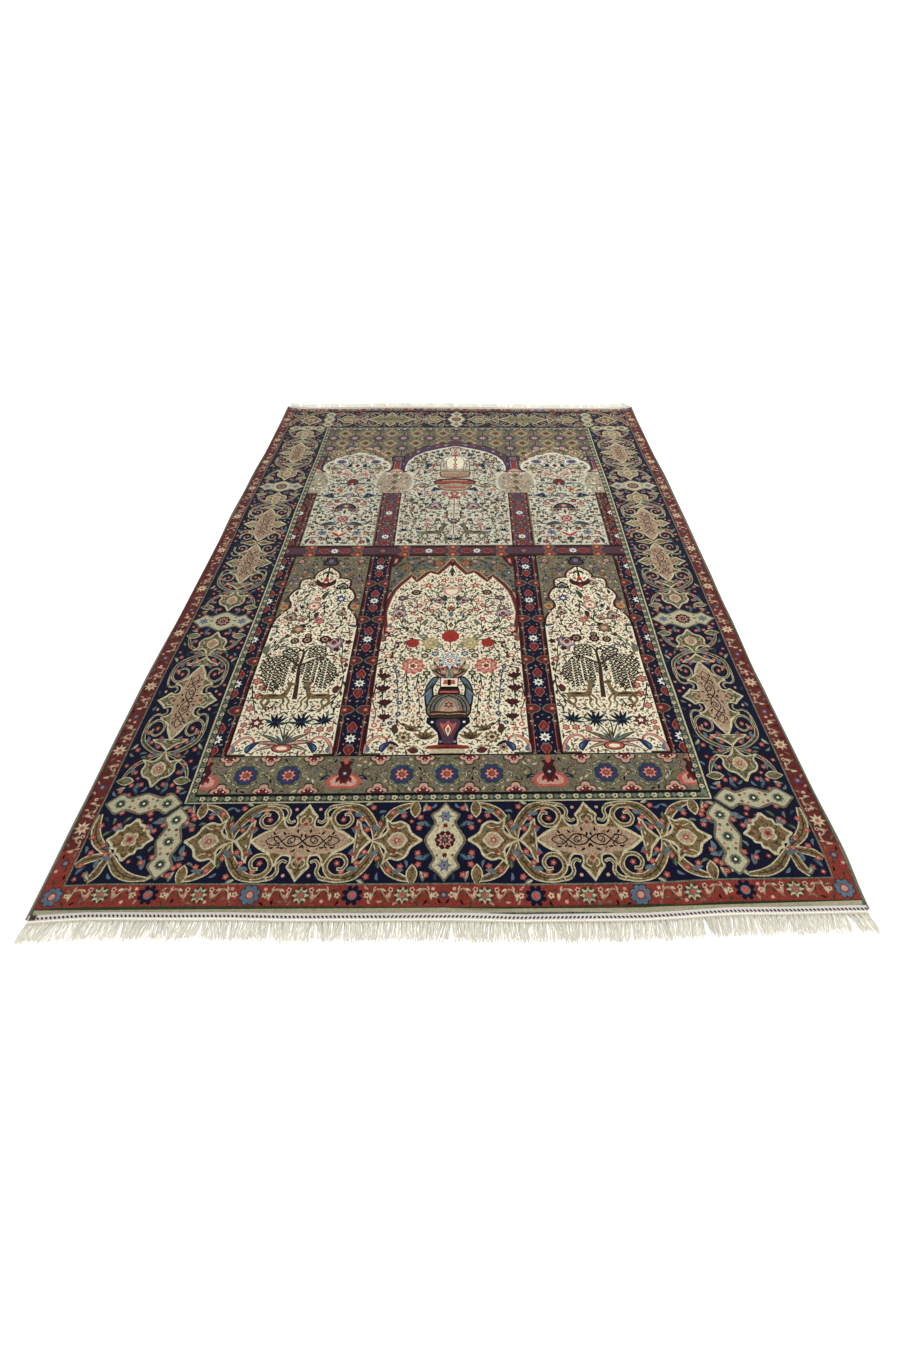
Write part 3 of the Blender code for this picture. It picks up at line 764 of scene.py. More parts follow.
# The bar: the same cartouches lying down
BAR_MIDDLE = (BAR_BOTTOM + BAR_TOP) / 2.0 * 1j
bar_ground = lay(box(0, PANEL_HEAD, FIELD[0], BAR_TOP), "maroon", field_ground)
lay(box(0, PANEL_HEAD, FIELD[0], PANEL_HEAD + 2.5), "ink", bar_ground)
lay(box(0, BAR_TOP - 2.0, FIELD[0], BAR_TOP), "ink", bar_ground)
lay(box(0, PANEL_HEAD + 7, FIELD[0], BAR_TOP - 6), "plum", bar_ground)
for at in (39.5, 196.5):
    put(column_star, at + BAR_MIDDLE, clip=bar_ground)
    put(column_palmette, at + 9.5 + BAR_MIDDLE, turn=-90, clip=bar_ground)
    put(column_palmette, at - 9.5 + BAR_MIDDLE, turn=90, clip=bar_ground)
for at in (0, 79, 157, 236):
    for turn in (-1, 1):
        put(column_lobe, at + BAR_MIDDLE + turn * 10.5j, turn=90, clip=bar_ground)
for at in (COLUMN_MIDDLE, EDGE_COLUMN_MIDDLE):
    put([(star(10, 6, 4), "ink"), (star(8.5, 5, 4), "brick"), (lobes(4, 4, points=5), "slate")],
        at + BAR_MIDDLE, clip=bar_ground)

# Side panels: a scalloped arch over a willow with two gazelles
side_ground = lay(box(SIDE_PANEL[0], PANEL_FOOT, SIDE_PANEL[1], PANEL_HEAD), "olive", field_ground)
half_scallop = np.array([
    62 + 182j, 62 + 415j, 61 + 426j, 59 + 434j, 55 + 442j, 50 + 451j, 44 + 458j, 44 + 465j,
    46 + 472j, 49 + 476j, 51 + 484j, 48 + 494j, 44 + 501j, 39 + 506j, 40 + 515j, 39 + 525j,
    33 + 530j, 25 + 532j, 21 + 533j, 20 + 540j, 16 + 549j, 10 + 554j, 4 + 561j, 563j,
])
scallop = mirrored(half_scallop[:-1]) + SIDE_MIDDLE
side_arch = lay(scallop, "ivory", side_ground)
lay(ribbon(smooth(scallop[1:-1], 2), 3.6), "maroon", side_ground)
lay(box(SIDE_PANEL[0], PANEL_FOOT, 135.2, PANEL_HEAD), "ink", side_ground)
lay(box(257.8, PANEL_FOOT, SIDE_PANEL[1], PANEL_HEAD), "ink", side_ground)
for knob in (20 + 532j, 41 + 505j, 45 + 461j):
    for turn in (-1, 1):
        lay(oval(2.6, points=7) + SIDE_MIDDLE + turn * knob.real + knob.imag * 1j, "maroon", side_ground)
for spot, size, petal, ring in (
    (49 + 578j, 6.5, "rose", "maroon"), (29 + 553j, 6.5, "slate", "maroon"),
    (51 + 530j, 6.0, "lilac", "maroon"), (37 + 541j, 4.5, "orange", "moss"),
    (52 + 476j, 5.0, "plum", "brown"), (53 + 460j, 7.0, "orange", "gold"), (53 + 447j, 4.0, "rose", "brown"),
    (13 + 580j, 3.5, "moss", "moss"), (28 + 583j, 4.0, "moss", "tan"), (56 + 505j, 4.0, "moss", "tan"),
    (38 + 565j, 3.5, "brown", "tan"), (57 + 556j, 3.5, "moss", "tan"),
):
    for turn in (-1, 1):
        put([(lobes(1.0, 6, 0.2), ring), (lobes(0.7, 6, 0.25), petal), (oval(0.26), "brick")],
            SIDE_MIDDLE + turn * spot.real + spot.imag * 1j, size, clip=side_ground)
for spot, tilt in ((20 + 567j, 30), (42 + 552j, 100), (44 + 538j, 160), (58 + 520j, 80), (59 + 492j, 100),
                   (22 + 583j, 10), (60 + 570j, 120), (31 + 571j, 200)):
    put_pair([(leaf(9, 3.4, 0.9), "moss")], SIDE_MIDDLE + spot, SIDE_MIDDLE, turn=tilt, clip=side_ground)
put_pair([(leaf(13, 6, 0.8), "navy"), (leaf(8, 2.6, 0.8) + 2, "slate")], SIDE_MIDDLE + 61 + 412j, SIDE_MIDDLE,
         turn=115, clip=side_ground)
put([(rounded([0 - 12j, 10 - 11j, 13 - 3j, 9 + 4j, 9 + 10j, 3 + 12j, 14j]), "ink"),
     (rounded([0 - 9j, 8 - 8j, 10 - 3j, 6 + 3j, 6 + 8j, 10j]), "plum"),
     (oval(4.2, 5.0, 8) + 1j, "slate"), (oval(2.0, points=6) + 1j, "lilac")],
    SIDE_MIDDLE + 577j, clip=side_ground)

# the pendant that hangs from the point of a side arch
put([(mirrored([0 - 30j, 2.2 - 26j, 1.2 - 12j, 1.2 + 2j]), "ink"),
     (rounded([0 - 10j, 6 - 12j, 9 - 18j, 7 - 21j, 4 - 17j, 0 - 17j]), "moss"),
     (rounded([0 - 27j, 3 - 34j, 6 - 40j, 12 - 34j, 15 - 32j, 16 - 42j, 12 - 48j, 5 - 52j, 0 - 59j]),
      "maroon"),
     (rounded([0 - 25j, 4 - 33j, 3 - 38j, 0 - 38j]), "red"),
     (rounded([0 - 48j, 3 - 50j, 2 - 55j, 0 - 57j], 2), "red"),
     (oval(3.0, 1.8, 8) - 40j, "white"),
     (mirrored([0 - 68j, 6 - 61j, 0 - 63j]), "maroon")],
    SIDE_MIDDLE + 561j, clip=side_ground)


def one_leaf(yarn, width, bend):
    return [(leaf(1.0, width, bend), yarn)]


def edged(motif, yarn="brown", swell=1.24):
    """A motif with a dark line of one or two knots round it."""
    return [(np.asarray(motif[0][0]) * swell, yarn)] + motif


bud = edged([(leaf(1.0, 0.62), "madder"), (leaf(0.5, 0.5, 0.6), "moss")], "maroon", 1.12)
dark_rosette = edged([(lobes(1.0, 8, 0.14), "maroon"), (lobes(0.62, 6, 0.2), "tan"),
                      (oval(0.36, points=6), "brown")],
                     "ink", 1.15)
pink_rosette = edged([(lobes(1.0, 6, 0.3), "coral"), (oval(0.6, points=6), "rose"), (oval(0.28), "brick")])
peach_rose = edged([(lobes(1.0, 7, 0.15), "rose"), (lobes(0.66, 6, 0.25), "ivory"),
                    (oval(0.34, points=6), "coral")],
                   "brown", 1.16)
quiet_palmette = palmette("sage", "rose", "brown", edge="brown", lip="cream")
plum_palmette = palmette("lilac", "rose", "plum", edge="plum", lip="ivory")
blue_star = [(star(12.5, 5.5, 8, 90), "navy"), (star(10.5, 4.2, 8, 90), "blue"), (star(4.5, 2.0, 6), "white")]
teal_spray = [(leaf(1.0, 0.22) * cmath.exp(1j * math.radians(a)), "teal" if a % 4 else "navy")
              for a in (18, 52, 76, 104, 128, 162)]

for line, stem, leaves, every, reach in (
    ([232 + 262j, 226 + 280j, 224 + 300j], "brown", ("moss", "sage"), 7, 7),
    ([243 + 362j, 240 + 380j, 229 + 396j, 214 + 418j, 205 + 424j], "moss", ("moss", "sage"), 8, 7),
    ([212 + 424j, 226 + 433j, 232 + 447j, 233 + 470j, 231 + 493j], "coral", ("moss", "sage"), 9, 7),
    ([205 + 424j, 208 + 440j, 216 + 450j, 214 + 466j], "moss", ("moss", "teal"), 8, 8),
    ([180 + 437j, 172 + 452j, 168 + 466j, 167 + 486j], "brown", ("moss", "moss"), 9, 6),
    ([188 + 475j, 192 + 462j, 203 + 452j], "moss", ("moss", "teal"), 8, 9),
    ([139 + 315j, 140 + 285j, 152 + 262j, 168 + 252j, 184 + 248j], "brown", ("teal", "moss"), 9, 8),
    ([140 + 318j, 146 + 344j, 149 + 372j, 157 + 398j], "moss", ("madder", "sage"), 10, 8),
    ([256 + 298j, 250 + 276j, 243 + 256j, 240 + 246j], "brown", ("brown", "moss"), 9, 6),
    ([252 + 350j, 248 + 372j, 238 + 390j], "fawn", ("sage", "moss"), 9, 7),
    ([170 + 400j, 160 + 415j, 158 + 432j, 162 + 444j], "brown", ("moss", "brown"), 8, 7),
    ([196 + 205j, 198 + 228j, 190 + 244j], "moss", ("moss",), 30, 4),
    ([196 + 205j, 204 + 224j, 209 + 234j], "moss", ("moss",), 30, 4),
    ([194 + 206j, 186 + 222j, 179 + 232j], "moss", ("moss",), 30, 4),
):
    put(twig(smooth(line), 2.0, stem, leaves, every, reach * 1.25), clip=side_arch)

for motif, spot, size, *turn in (
    (blue_star, 167 + 479j, 1.0), (palmette("ink", "sage", "plum", edge="ink", lip="white"), 169 + 503j, 12),
    (one_leaf("moss", 0.35, 0.9), 167 + 492j, 11, 20), (one_leaf("moss", 0.35, -0.9), 167 + 492j, 11, 160),
    (one_leaf("moss", 0.3, 0.4), 230 + 506j, 12, -20), (one_leaf("moss", 0.4, 0.2), 237 + 488j, 13, 82),
    (one_leaf("moss", 0.3, 0.5), 193 + 476j, 26, 76), (one_leaf("sage", 0.35, 0.5), 219 + 482j, 16, -60),
    (one_leaf("moss", 0.4, -0.6), 216 + 490j, 13, -20), (pink_rosette, 202 + 479j, 5),
    (peach_rose, 205 + 462j, 10), (quiet_palmette, 219 + 512j, 9, 20), (teal_spray, 225 + 458j, 10, 60),
    (bud, 228 + 448j, 8, 70), (quiet_palmette, 237 + 430j, 12, 20), (bud, 197 + 437j, 8, 90),
    (pink_rosette, 197 + 433j, 4.5), (one_leaf("brown", 0.45, -0.9), 194 + 448j, 17, -30),
    (bud, 184 + 457j, 7, 80), (bud, 159 + 450j, 9, 80), (bud, 152 + 430j, 8, 60),
    (quiet_palmette, 162 + 440j, 10, 10), (peach_rose, 243 + 428j, 5), (pink_rosette, 190 + 427j, 6),
    (quiet_palmette, 215 + 428j, 8, -20),
    ([(lobes(1.0, 9, 0.3), "brown"), (lobes(0.75, 9, 0.2), "fawn"), (oval(0.4, points=7), "rose")],
     218 + 409j, 11.5),
    (one_leaf("navy", 0.45, 0.6), 207 + 414j, 11, 10), (plum_palmette, 163 + 388j, 16, 175),
    (dark_rosette, 218 + 384j, 6), (dark_rosette, 201 + 386j, 7), (dark_rosette, 201 + 395j, 5),
    (dark_rosette, 176 + 387j, 7.5), (bud, 231 + 390j, 9, 85), (bud, 253 + 384j, 8, 95),
    ([(lobes(1, 5, 0.4), "maroon")], 142 + 381j, 6), ([(lobes(1, 5, 0.4), "maroon")], 156 + 366j, 5.5),
    (one_leaf("moss", 0.5, 0.3), 144 + 358j, 9, 100), (one_leaf("sage", 0.4, 0.6), 252 + 356j, 24, 60),
    (one_leaf("teal", 0.5, 0.3), 177 + 290j, 14, 5), (bud, 147 + 282j, 14, 100),
    (pink_rosette, 251 + 305j, 6), (pink_rosette, 241 + 293j, 5.5), (pink_rosette, 243 + 278j, 5.5),
    (pink_rosette, 249 + 257j, 5), (pink_rosette, 250 + 230j, 4), (pink_rosette, 251 + 220j, 4),
    (pink_rosette, 155 + 222j, 4.5), (pink_rosette, 143 + 222j, 4.0), (pink_rosette, 170 + 219j, 4.0),
    ([(star(11.5, 6.0, 7), "ink"), (star(10.5, 5.2, 7), "madder"), (star(4, 2.2, 5), "white")], 235 + 233j,
     1),
    (teal_spray, 212 + 231j, 19, 12), (teal_spray, 212 + 235j, 14, 190), (teal_spray, 180 + 231j, 19, -8),
    (teal_spray, 180 + 235j, 14, 180), (teal_spray, 152 + 232j, 17, -25), (teal_spray, 152 + 238j, 12, 150),
    (palmette("madder", "coral", "cream", edge="moss", lip="rose"), 142 + 348j, 7, 200),
    (bud, 146 + 312j, 8, 60), (bud, 139 + 330j, 9, 90),
):
    put(motif, spot, size, *turn, clip=side_arch)

# ground plants and corner curls
for length, tilt, bend, outer, inner in (
    (34, 4, -0.35, "brown", "rose"), (40, 22, -0.3, "plum", "tan"), (36, 44, -0.25, "moss", "sage"),
    (22, 66, -0.2, "teal", "slate"), (26, 92, 0.1, "moss", "fawn"), (22, 112, 0.2, "teal", "slate"),
    (36, 134, 0.25, "brown", "olive"), (42, 157, 0.3, "plum", "rose"), (34, 176, 0.35, "moss", "tan"),
):
    blade = [(leaf(length, length * 0.17, bend), outer),
             (leaf(length * 0.84, length * 0.09, bend) + 2, inner)]
    put(blade, 196 + 197j, turn=tilt, clip=side_arch)
put([(oval(13, 7, 10), "brown"), (oval(11, 5.4, 10), "coral"), (oval(7, 3, 8), "ivory")], 196 + 193j,
    clip=side_arch)


def corner_curl(at, middle, clip):
    """A rose hook over a blue comma, in both lower corners of a panel."""
    put_pair([(ribbon(smooth([1 + 0j, -2 + 13j, -9 + 23j, -18 + 26j, -25 + 21j, -26 + 14j]), 5.6, 2.4),
               "russet"),
              (ribbon(smooth([1 + 0j, -2 + 13j, -9 + 23j, -18 + 26j, -24 + 21j]), 3.2, 1.4), "rose"),
              (leaf(21, 10, 0.9) * cmath.exp(1.25j) - 21.5 + 1j, "ink"),
              (leaf(18, 7.4, 0.9) * cmath.exp(1.25j) - 21 + 2.4j, "blue"),
              (leaf(9, 2.6, 0.6) * cmath.exp(1.35j) - 20 + 5j, "slate"),
              (leaf(13, 5, -0.8) * cmath.exp(2.2j) - 3 + 1j, "slate"),
              (box(-20, -4, 2, 0.6), "moss")], at, middle, clip=clip)


corner_curl(257 + 184j, SIDE_MIDDLE, side_arch)

# the willow
willow = [(ribbon(smooth(line), width, tip), "brown") for line, width, tip in (
    ([196 + 272j, 198 + 300j, 201 + 330j, 200 + 352j, 201 + 362j, 203 + 368j], 6.4, 2.2),
    ([200 + 356j, 196 + 367j, 188 + 373j, 178 + 373j, 170 + 367j], 2.8, 1.6),
    ([202 + 362j, 211 + 370j, 221 + 369j, 231 + 363j], 2.6, 1.4),
    ([201 + 334j, 211 + 341j, 221 + 349j, 230 + 353j, 241 + 351j, 250 + 346j], 3.2, 1.6),
    ([200 + 334j, 190 + 342j, 178 + 349j, 167 + 348j, 160 + 340j], 3.2, 1.6),
)]
droop = random.Random(3)
for strand_x, strand_top, strand_foot in (
    (252, 347, 324), (247, 350, 314), (242, 351, 304), (237, 352, 292), (232, 352, 289), (227, 351, 288),
    (222, 349, 290), (217, 346, 297), (228, 366, 354), (223, 369, 352), (218, 369, 350), (213, 369, 344),
    (208, 366, 322), (206, 350, 326), (192, 371, 350), (187, 373, 350), (182, 373, 350), (177, 372, 348),
    (172, 369, 350), (190, 343, 305), (185, 347, 300), (179, 348, 303), (173, 348, 298), (167, 347, 293),
    (161, 342, 294), (156, 338, 302), (152, 332, 306), (247, 360, 350), (196, 340, 318),
):
    x, y = float(strand_x), float(strand_top)
    while y > strand_foot:
        side = 1 if droop.random() < 0.5 else -1
        yarn = ("moss", "ink", "brown", "moss")[droop.randrange(4)]
        drops = [cmath.exp(1j * math.radians(-90 + tilt)) for tilt in (side * 26, -side * 28)]
        willow.append((leaf(5.4, 3.1, points=3) * drops[0] + x + y * 1j, yarn))
        willow.append((leaf(5.0, 2.9, points=3) * drops[1] + x + (y - 1.8) * 1j, "brown"))
        y -= 4.6
        x += droop.uniform(-0.25, 0.25)
put(willow, clip=side_arch)

# a gazelle that looks back over the ground, facing +x
gazelle = [
    (smooth([11j, 2 + 14j, 9 + 15j, 16 + 14j, 20 + 17j, 22 + 25j, 20 + 29j, 23 + 31j, 27 + 29j, 30 + 28j,
             29 + 26j, 26 + 25j, 25 + 18j, 23 + 11j, 20 + 8j, 12 + 8j, 5 + 8j, 1 + 7j], 2, closed=True),
     "fawn"),
    (ribbon(smooth([20 + 10j, 22 + 4j, 20 + 0j, 22 - 6j], 3), 2.6, 1.5), "fawn"),
    (ribbon(smooth([23 + 11j, 27 + 5j, 26 + 0j, 29 - 6j], 3), 2.4, 1.5), "fawn"),
    (ribbon(smooth([3 + 9j, 1 + 4j, 5 - 2j, 9 - 8j], 3), 3.4, 1.5), "fawn"),
    (ribbon(smooth([6 + 9j, 8 + 4j, 6 - 1j, 4 - 6j], 3), 2.8, 1.4), "fawn"),
    (ribbon(smooth([1 + 12j, -3 + 13j, -4 + 9j], 3), 1.8, 1.0), "brown"),
    (ribbon(smooth([22 + 31j, 20 + 34j, 21 + 37j], 3), 1.2, 0.8), "brown"),
    (ribbon(smooth([24 + 31j, 25 + 34j, 23 + 37j], 3), 1.2, 0.8), "brown"),
    (smooth([4 + 12j, 10 + 13.5j, 16 + 12.5j, 12 + 11j], 2, closed=True), "brown"),
    (oval(0.7) + 25 + 28.5j, "ink"),
]
put(gazelle, 150 + 262j, size=1.36, clip=side_arch)
put(gazelle, 239 + 262j, size=1.36, clip=side_arch, flip=True)

# The middle panel: a stepped arch over a vase
middle_ground = lay(box(0, PANEL_FOOT, 98.5, PANEL_HEAD), "olive", field_ground)
half_step = np.array([
    98.5 + 182j, 98.5 + 372j, 96 + 384j, 92 + 398j, 93 + 412j, 96 + 430j, 97.5 + 445j, 96 + 462j, 93 + 480j,
    88 + 498j, 80 + 514j, 70 + 529j, 64 + 538j, 59 + 532j, 55 + 523j, 47 + 534j, 39 + 545j, 34 + 549j,
    27 + 545j, 23 + 542j, 15 + 554j, 8 + 565j, 581j,
])
middle_arch = lay(mirrored(half_step[:-1])[:2 * len(half_step)], "ivory", middle_ground)
lay(ribbon(half_step[3:], 8.4), "cream", middle_ground)
lay(ribbon(half_step[3:], 6.4), "madder", middle_ground)
lay(box(96.6, PANEL_FOOT, 98.5, PANEL_HEAD), "maroon", middle_ground)
put([(mirrored([1j, 5 - 3j, 4 - 10j, 0 - 17j]), "maroon"), (star(3.4, 1.6, 4), "coral")], 577j,
    clip=middle_ground)
lay([78 + 592j, 98.5 + 592j, 98.5 + 560j, 92 + 562j, 84 + 576j], "maroon", middle_ground)
lay([88 + 584j, 93 + 586j, 95 + 570j, 90 + 572j], "coral", middle_ground)
lay([90 + 581j, 92.5 + 582j, 93.5 + 575j, 91 + 575j], "cream", middle_ground)
for line, yarn in (
    ([90 + 552j, 84 + 566j, 70 + 572j, 60 + 560j, 64 + 550j], "moss"),
    ([60 + 560j, 52 + 574j, 40 + 580j, 28 + 574j, 30 + 562j], "moss"),
    ([44 + 556j, 36 + 568j, 24 + 572j, 14 + 580j], "slate"),
    ([94 + 540j, 86 + 548j, 78 + 544j, 80 + 534j], "slate"),
    ([94 + 505j, 92 + 520j, 84 + 534j, 74 + 546j], "moss"), ([76 + 580j, 64 + 584j, 52 + 586j], "brown"),
):
    put(twig(smooth(line), 1.4, yarn, ("moss", "slate", "moss", "brown"), 4.5, 6.5, both=True),
        clip=middle_ground)
for spot, size, petal, heart in (
    (21 + 571j, 6.5, "orange", "brick"), (75 + 559j, 5.0, "orange", "maroon"),
    (47 + 548j, 5.5, "gold", "brown"), (57 + 565j, 5.0, "slate", "navy"), (66 + 574j, 4.0, "rose", "brown"),
    (36 + 577j, 4.5, "rose", "plum"), (86 + 530j, 5.0, "sage", "slate"), (92 + 516j, 4.0, "slate", "navy"),
    (12 + 586j, 4.0, "sage", "plum"), (89 + 545j, 4.0, "slate", "ivory"), (48 + 585j, 4.0, "tan", "maroon"),
    (95 + 498j, 3.5, "navy", "slate"),
):
    put([(lobes(1.25, 6, 0.3), "brown")] + floret(petal, heart, 6), spot, size, clip=middle_ground)

# branches of the middle panel
for line, stem, leaves, every, reach in (
    ([3 + 398j, 8 + 420j, 22 + 438j, 32 + 452j, 30 + 470j, 22 + 478j], "moss", ("moss", "sage"), 9, 7),
    ([22 + 438j, 40 + 441j, 50 + 452j, 50 + 466j], "brown", ("moss", "sage"), 9, 6),
    ([8 + 420j, 16 + 428j, 24 + 432j], "moss", ("moss", "teal"), 7, 7),
    ([30 + 470j, 36 + 486j, 52 + 492j, 66 + 488j, 75 + 478j], "brown", ("moss", "sage"), 9, 7),
    ([52 + 492j, 44 + 504j, 38 + 512j], "moss", ("moss", "sage"), 8, 7),
    ([30 + 384j, 46 + 398j, 62 + 408j, 72 + 424j, 76 + 446j], "brown", ("moss", "sage"), 9, 8),
    ([46 + 398j, 44 + 414j, 44 + 430j], "moss", ("sage", "moss"), 8, 7),
    ([62 + 408j, 78 + 410j, 90 + 400j], "moss", ("moss", "brown"), 8, 7),
    ([20 + 372j, 40 + 384j, 58 + 384j, 72 + 374j, 80 + 358j, 92 + 336j], "moss", ("moss", "brown"), 8, 8),
    ([60 + 383j, 62 + 366j, 70 + 350j], "brown", ("moss", "sage"), 9, 7),
    ([2 + 446j, 10 + 462j, 12 + 476j], "moss", ("moss", "moss"), 8, 8),
    ([12 + 476j, 20 + 490j, 12 + 505j, 4 + 516j], "brown", ("moss", "sage"), 9, 7),
    ([20 + 490j, 30 + 500j, 36 + 508j], "moss", ("sage", "moss"), 8, 6),
    ([76 + 446j, 84 + 456j, 84 + 468j], "brown", ("sage", "moss"), 8, 7),
    ([68 + 332j, 84 + 330j, 92 + 322j], "moss", ("moss", "moss"), 9, 6),
    ([72 + 330j, 67 + 300j, 64 + 270j, 62 + 240j], "teal", ("sage",), 14, 5),
    ([84 + 318j, 84 + 292j, 84 + 264j, 80 + 240j], "moss", ("moss", "sage"), 9, 7),
    ([58 + 345j, 56 + 310j, 52 + 280j, 50 + 245j], "brown", ("moss", "sage", "brown"), 6, 6),
    ([40 + 318j, 42 + 296j, 38 + 276j, 36 + 250j, 34 + 228j], "moss", ("teal", "moss"), 11, 7),
    ([30 + 322j, 33 + 300j], "moss", ("moss",), 7, 7),
    ([94 + 300j, 96 + 270j, 90 + 248j, 92 + 226j], "brown", ("sage",), 14, 5),
    ([64 + 238j, 56 + 228j, 44 + 222j, 34 + 226j], "moss", ("moss", "brown"), 8, 7),
):
    put(twig(smooth(line), 1.9, stem, leaves, every, reach * 1.25), clip=middle_arch)

carnation = [
    (mirrored([0 - 5j, 4 - 3j, 9 + 1j, 10 + 5j, 7 + 4j, 6 + 8j, 3 + 5j, 8j]), "maroon"),
    (oval(1.2) + 1.0j, "madder"), (mirrored([0 - 9j, 2.4 - 6j, 1.5 - 4j, 0 - 3j]), "moss"),
]
eyed_floret = [(lobes(1.0, 8, 0.2), "lilac"), (oval(0.66, points=8), "navy"), (oval(0.26), "ivory")]
ring_floret = [(oval(1.0, points=7), "coral"), (oval(0.5, points=6), "ivory")]
ball_rose = [
    (lobes(1.0, 9, 0.12), "brick"), (lobes(0.88, 9, 0.2), "red"), (lobes(0.6, 6, 0.3), "brick"),
    (lobes(0.34, 5, 0.3), "red"),
]
full_rose = [
    (lobes(1.06, 9, 0.2), "coral"), (lobes(0.86, 8, 0.3), "rose"), (lobes(0.62, 7, 0.3), "coral"),
    (lobes(0.44, 6, 0.3), "ivory"), (lobes(0.3, 5, 0.3), "brick"),
]
gold_mum = [
    (lobes(1.0, 9, 0.28), "gold"), (lobes(0.72, 8, 0.35), "cream"), (lobes(0.5, 7, 0.3), "gold"),
    (lobes(0.26, 5, 0.3), "cream"),
]
coral_star = [(star(1.0, 0.45, 5), "coral"), (star(0.5, 0.25, 5), "brick"), (oval(0.2), "ivory")]
tan_fan = [(leaf(1.0, 0.3) * cmath.exp(1j * math.radians(a)), "fawn") for a in (35, 60, 90, 120, 145)] + [
    (leaf(0.7, 0.12) * cmath.exp(1j * math.radians(a)), "brown") for a in (47, 75, 105, 133)]

for motif, spot, size, *turn in (
    (coral_star, 36 + 512j, 9.5), (coral_star, 12 + 525j, 8, 15), (plum_palmette, 22 + 470j, 12, 40),
    (dark_rosette, 54 + 494j, 6.5), (blossom("plum", "lilac", "rose", "brown"), 74 + 480j, 6.5),
    (plum_palmette, 76 + 436j, 14),
    (palmette("sage", "plum", "ivory", edge="brown", lip="rose"), 76 + 452j, 9, 20),
    (ring_floret, 37 + 474j, 5),
    ([(lobes(1, 5, 0.35), "brick"), (lobes(0.5, 5, 0.3), "rose")], 47 + 462j, 6),
    ([(lobes(1, 5, 0.35), "madder"), (lobes(0.5, 5, 0.3), "rose")], 38 + 452j, 6, 30),
    ([(lobes(1, 5, 0.35), "brick"), (lobes(0.5, 5, 0.3), "gold")], 28 + 449j, 5.5), (bud, 60 + 443j, 9, 150),
    (coral_star, 56 + 443j, 5.5), (coral_star, 84 + 431j, 7, 20),
    ([(lobes(1, 5, 0.35), "brick"), (lobes(0.45, 5, 0.3), "rose")], 45 + 430j, 6, 10),
    (bud, 50 + 402j, 7, 90), (bud, 66 + 388j, 7, 140), (bud, 72 + 375j, 8, 60), (bud, 80 + 346j, 9, 100),
    (ring_floret, 84 + 352j, 4.5), (bud, 90 + 318j, 8, 80), (one_leaf("moss", 0.5, 0.4), 62 + 402j, 9, 80),
    (one_leaf("moss", 0.45, 0.3), 60 + 505j, 9, 115), (one_leaf("moss", 0.5, 0.2), 30 + 520j, 9, 80),
    (one_leaf("sage", 0.45, 0.2), 38 + 415j, 17, 92), (one_leaf("sage", 0.4, 0.4), 64 + 425j, 13, 40),
    (one_leaf("maroon", 0.3, 0.2), 62 + 516j, 9, 120), (peach_rose, 86 + 408j, 7),
    ([(lobes(1, 6, 0.3), "maroon"), (lobes(0.5, 5, 0.3), "rose")], 91 + 396j, 6.5),
    ([(lobes(1, 6, 0.3), "maroon"), (lobes(0.5, 5, 0.3), "coral")], 94 + 386j, 5.5),
    (one_leaf("sage", 0.4, 0.2), 84 + 410j, 12, 60), (one_leaf("slate", 0.4, 0.2), 90 + 415j, 10, 120),
    (ball_rose, 52 + 378j, 9.5), (gold_mum, 27 + 378j, 14), (full_rose, 49 + 332j, 15.5),
    (carnation, 86 + 312j, 1, 10), (carnation, 85 + 289j, 1), (carnation, 80 + 264j, 1, -8),
    (carnation, 79 + 240j, 0.9), (eyed_floret, 73 + 329j, 4), (eyed_floret, 69 + 321j, 4.4),
    (eyed_floret, 69 + 303j, 4.4), (eyed_floret, 68 + 285j, 4.4), (eyed_floret, 62 + 265j, 4.4),
    (eyed_floret, 62 + 246j, 4.6), (eyed_floret, 71 + 231j, 4), (ring_floret, 40 + 292j, 3.6),
    (ring_floret, 41 + 280j, 3.4), (ring_floret, 36 + 243j, 3.4), (ring_floret, 36 + 231j, 3.2),
    (ring_floret, 95 + 272j, 3.6), (ring_floret, 93 + 252j, 3.6), (ring_floret, 90 + 228j, 4),
    (coral_star, 82 + 221j, 6), (ring_floret, 48 + 252j, 3.4), (ring_floret, 52 + 236j, 3.4),
    (tan_fan, 28 + 204j, 18, 5),
    ([(lobes(1, 9, 0.3), "fawn"), (lobes(0.62, 8, 0.3), "cream"), (oval(0.3, points=6), "madder")],
     53 + 208j, 10.5),
    (tan_fan, 46 + 218j, 13, 30), (bud, 64 + 214j, 10, 100), (bud, 68 + 222j, 9, 130),
    (one_leaf("navy", 0.4, 0.3), 57 + 194j, 16, 20), (one_leaf("moss", 0.3, 0.9), 72 + 223j, 16, 190),
    ([(lobes(1, 6, 0.3), "tan"), (oval(0.4), "brown")], 66 + 192j, 6.5),
    ([(lobes(1, 6, 0.3), "tan"), (oval(0.4), "brown")], 40 + 191j, 6), (bud, 34 + 186j, 13, 15),
):
    put(motif, spot, size, *turn, clip=middle_arch)
put([(mirrored([0 - 6j, 3 - 2j, 2 + 5j, 8j]), "brown"), (oval(1.6, points=6), "red")], 541j, clip=middle_arch)
put([(mirrored([0j, 4 - 12j, 7 - 22j, 3 - 16j, 2 - 22j, 0 - 28j]), "moss")], 562j, clip=middle_arch)
put([(rounded([0j, 6 + 1j, 13 + 8j, 13 + 18j, 5 + 20j, 2 + 24j, 24j]), "rose"),
     (rounded([2j, 5 + 4j, 9 + 10j, 8 + 16j, 14j]), "ivory")], 486j, clip=middle_arch)
put([(leaf(16, 6, 0.5), "moss"), (leaf(15, 6, -0.4) * 1j + 4, "moss")], 5 + 474j, 1, 10, middle_arch)
put([(lobes(6.5, 6, 0.3, 5), "brown"), (lobes(5, 6, 0.3, 5), "orange"), (lobes(2.4, 5, 0.3), "maroon")],
    455j, clip=middle_arch)
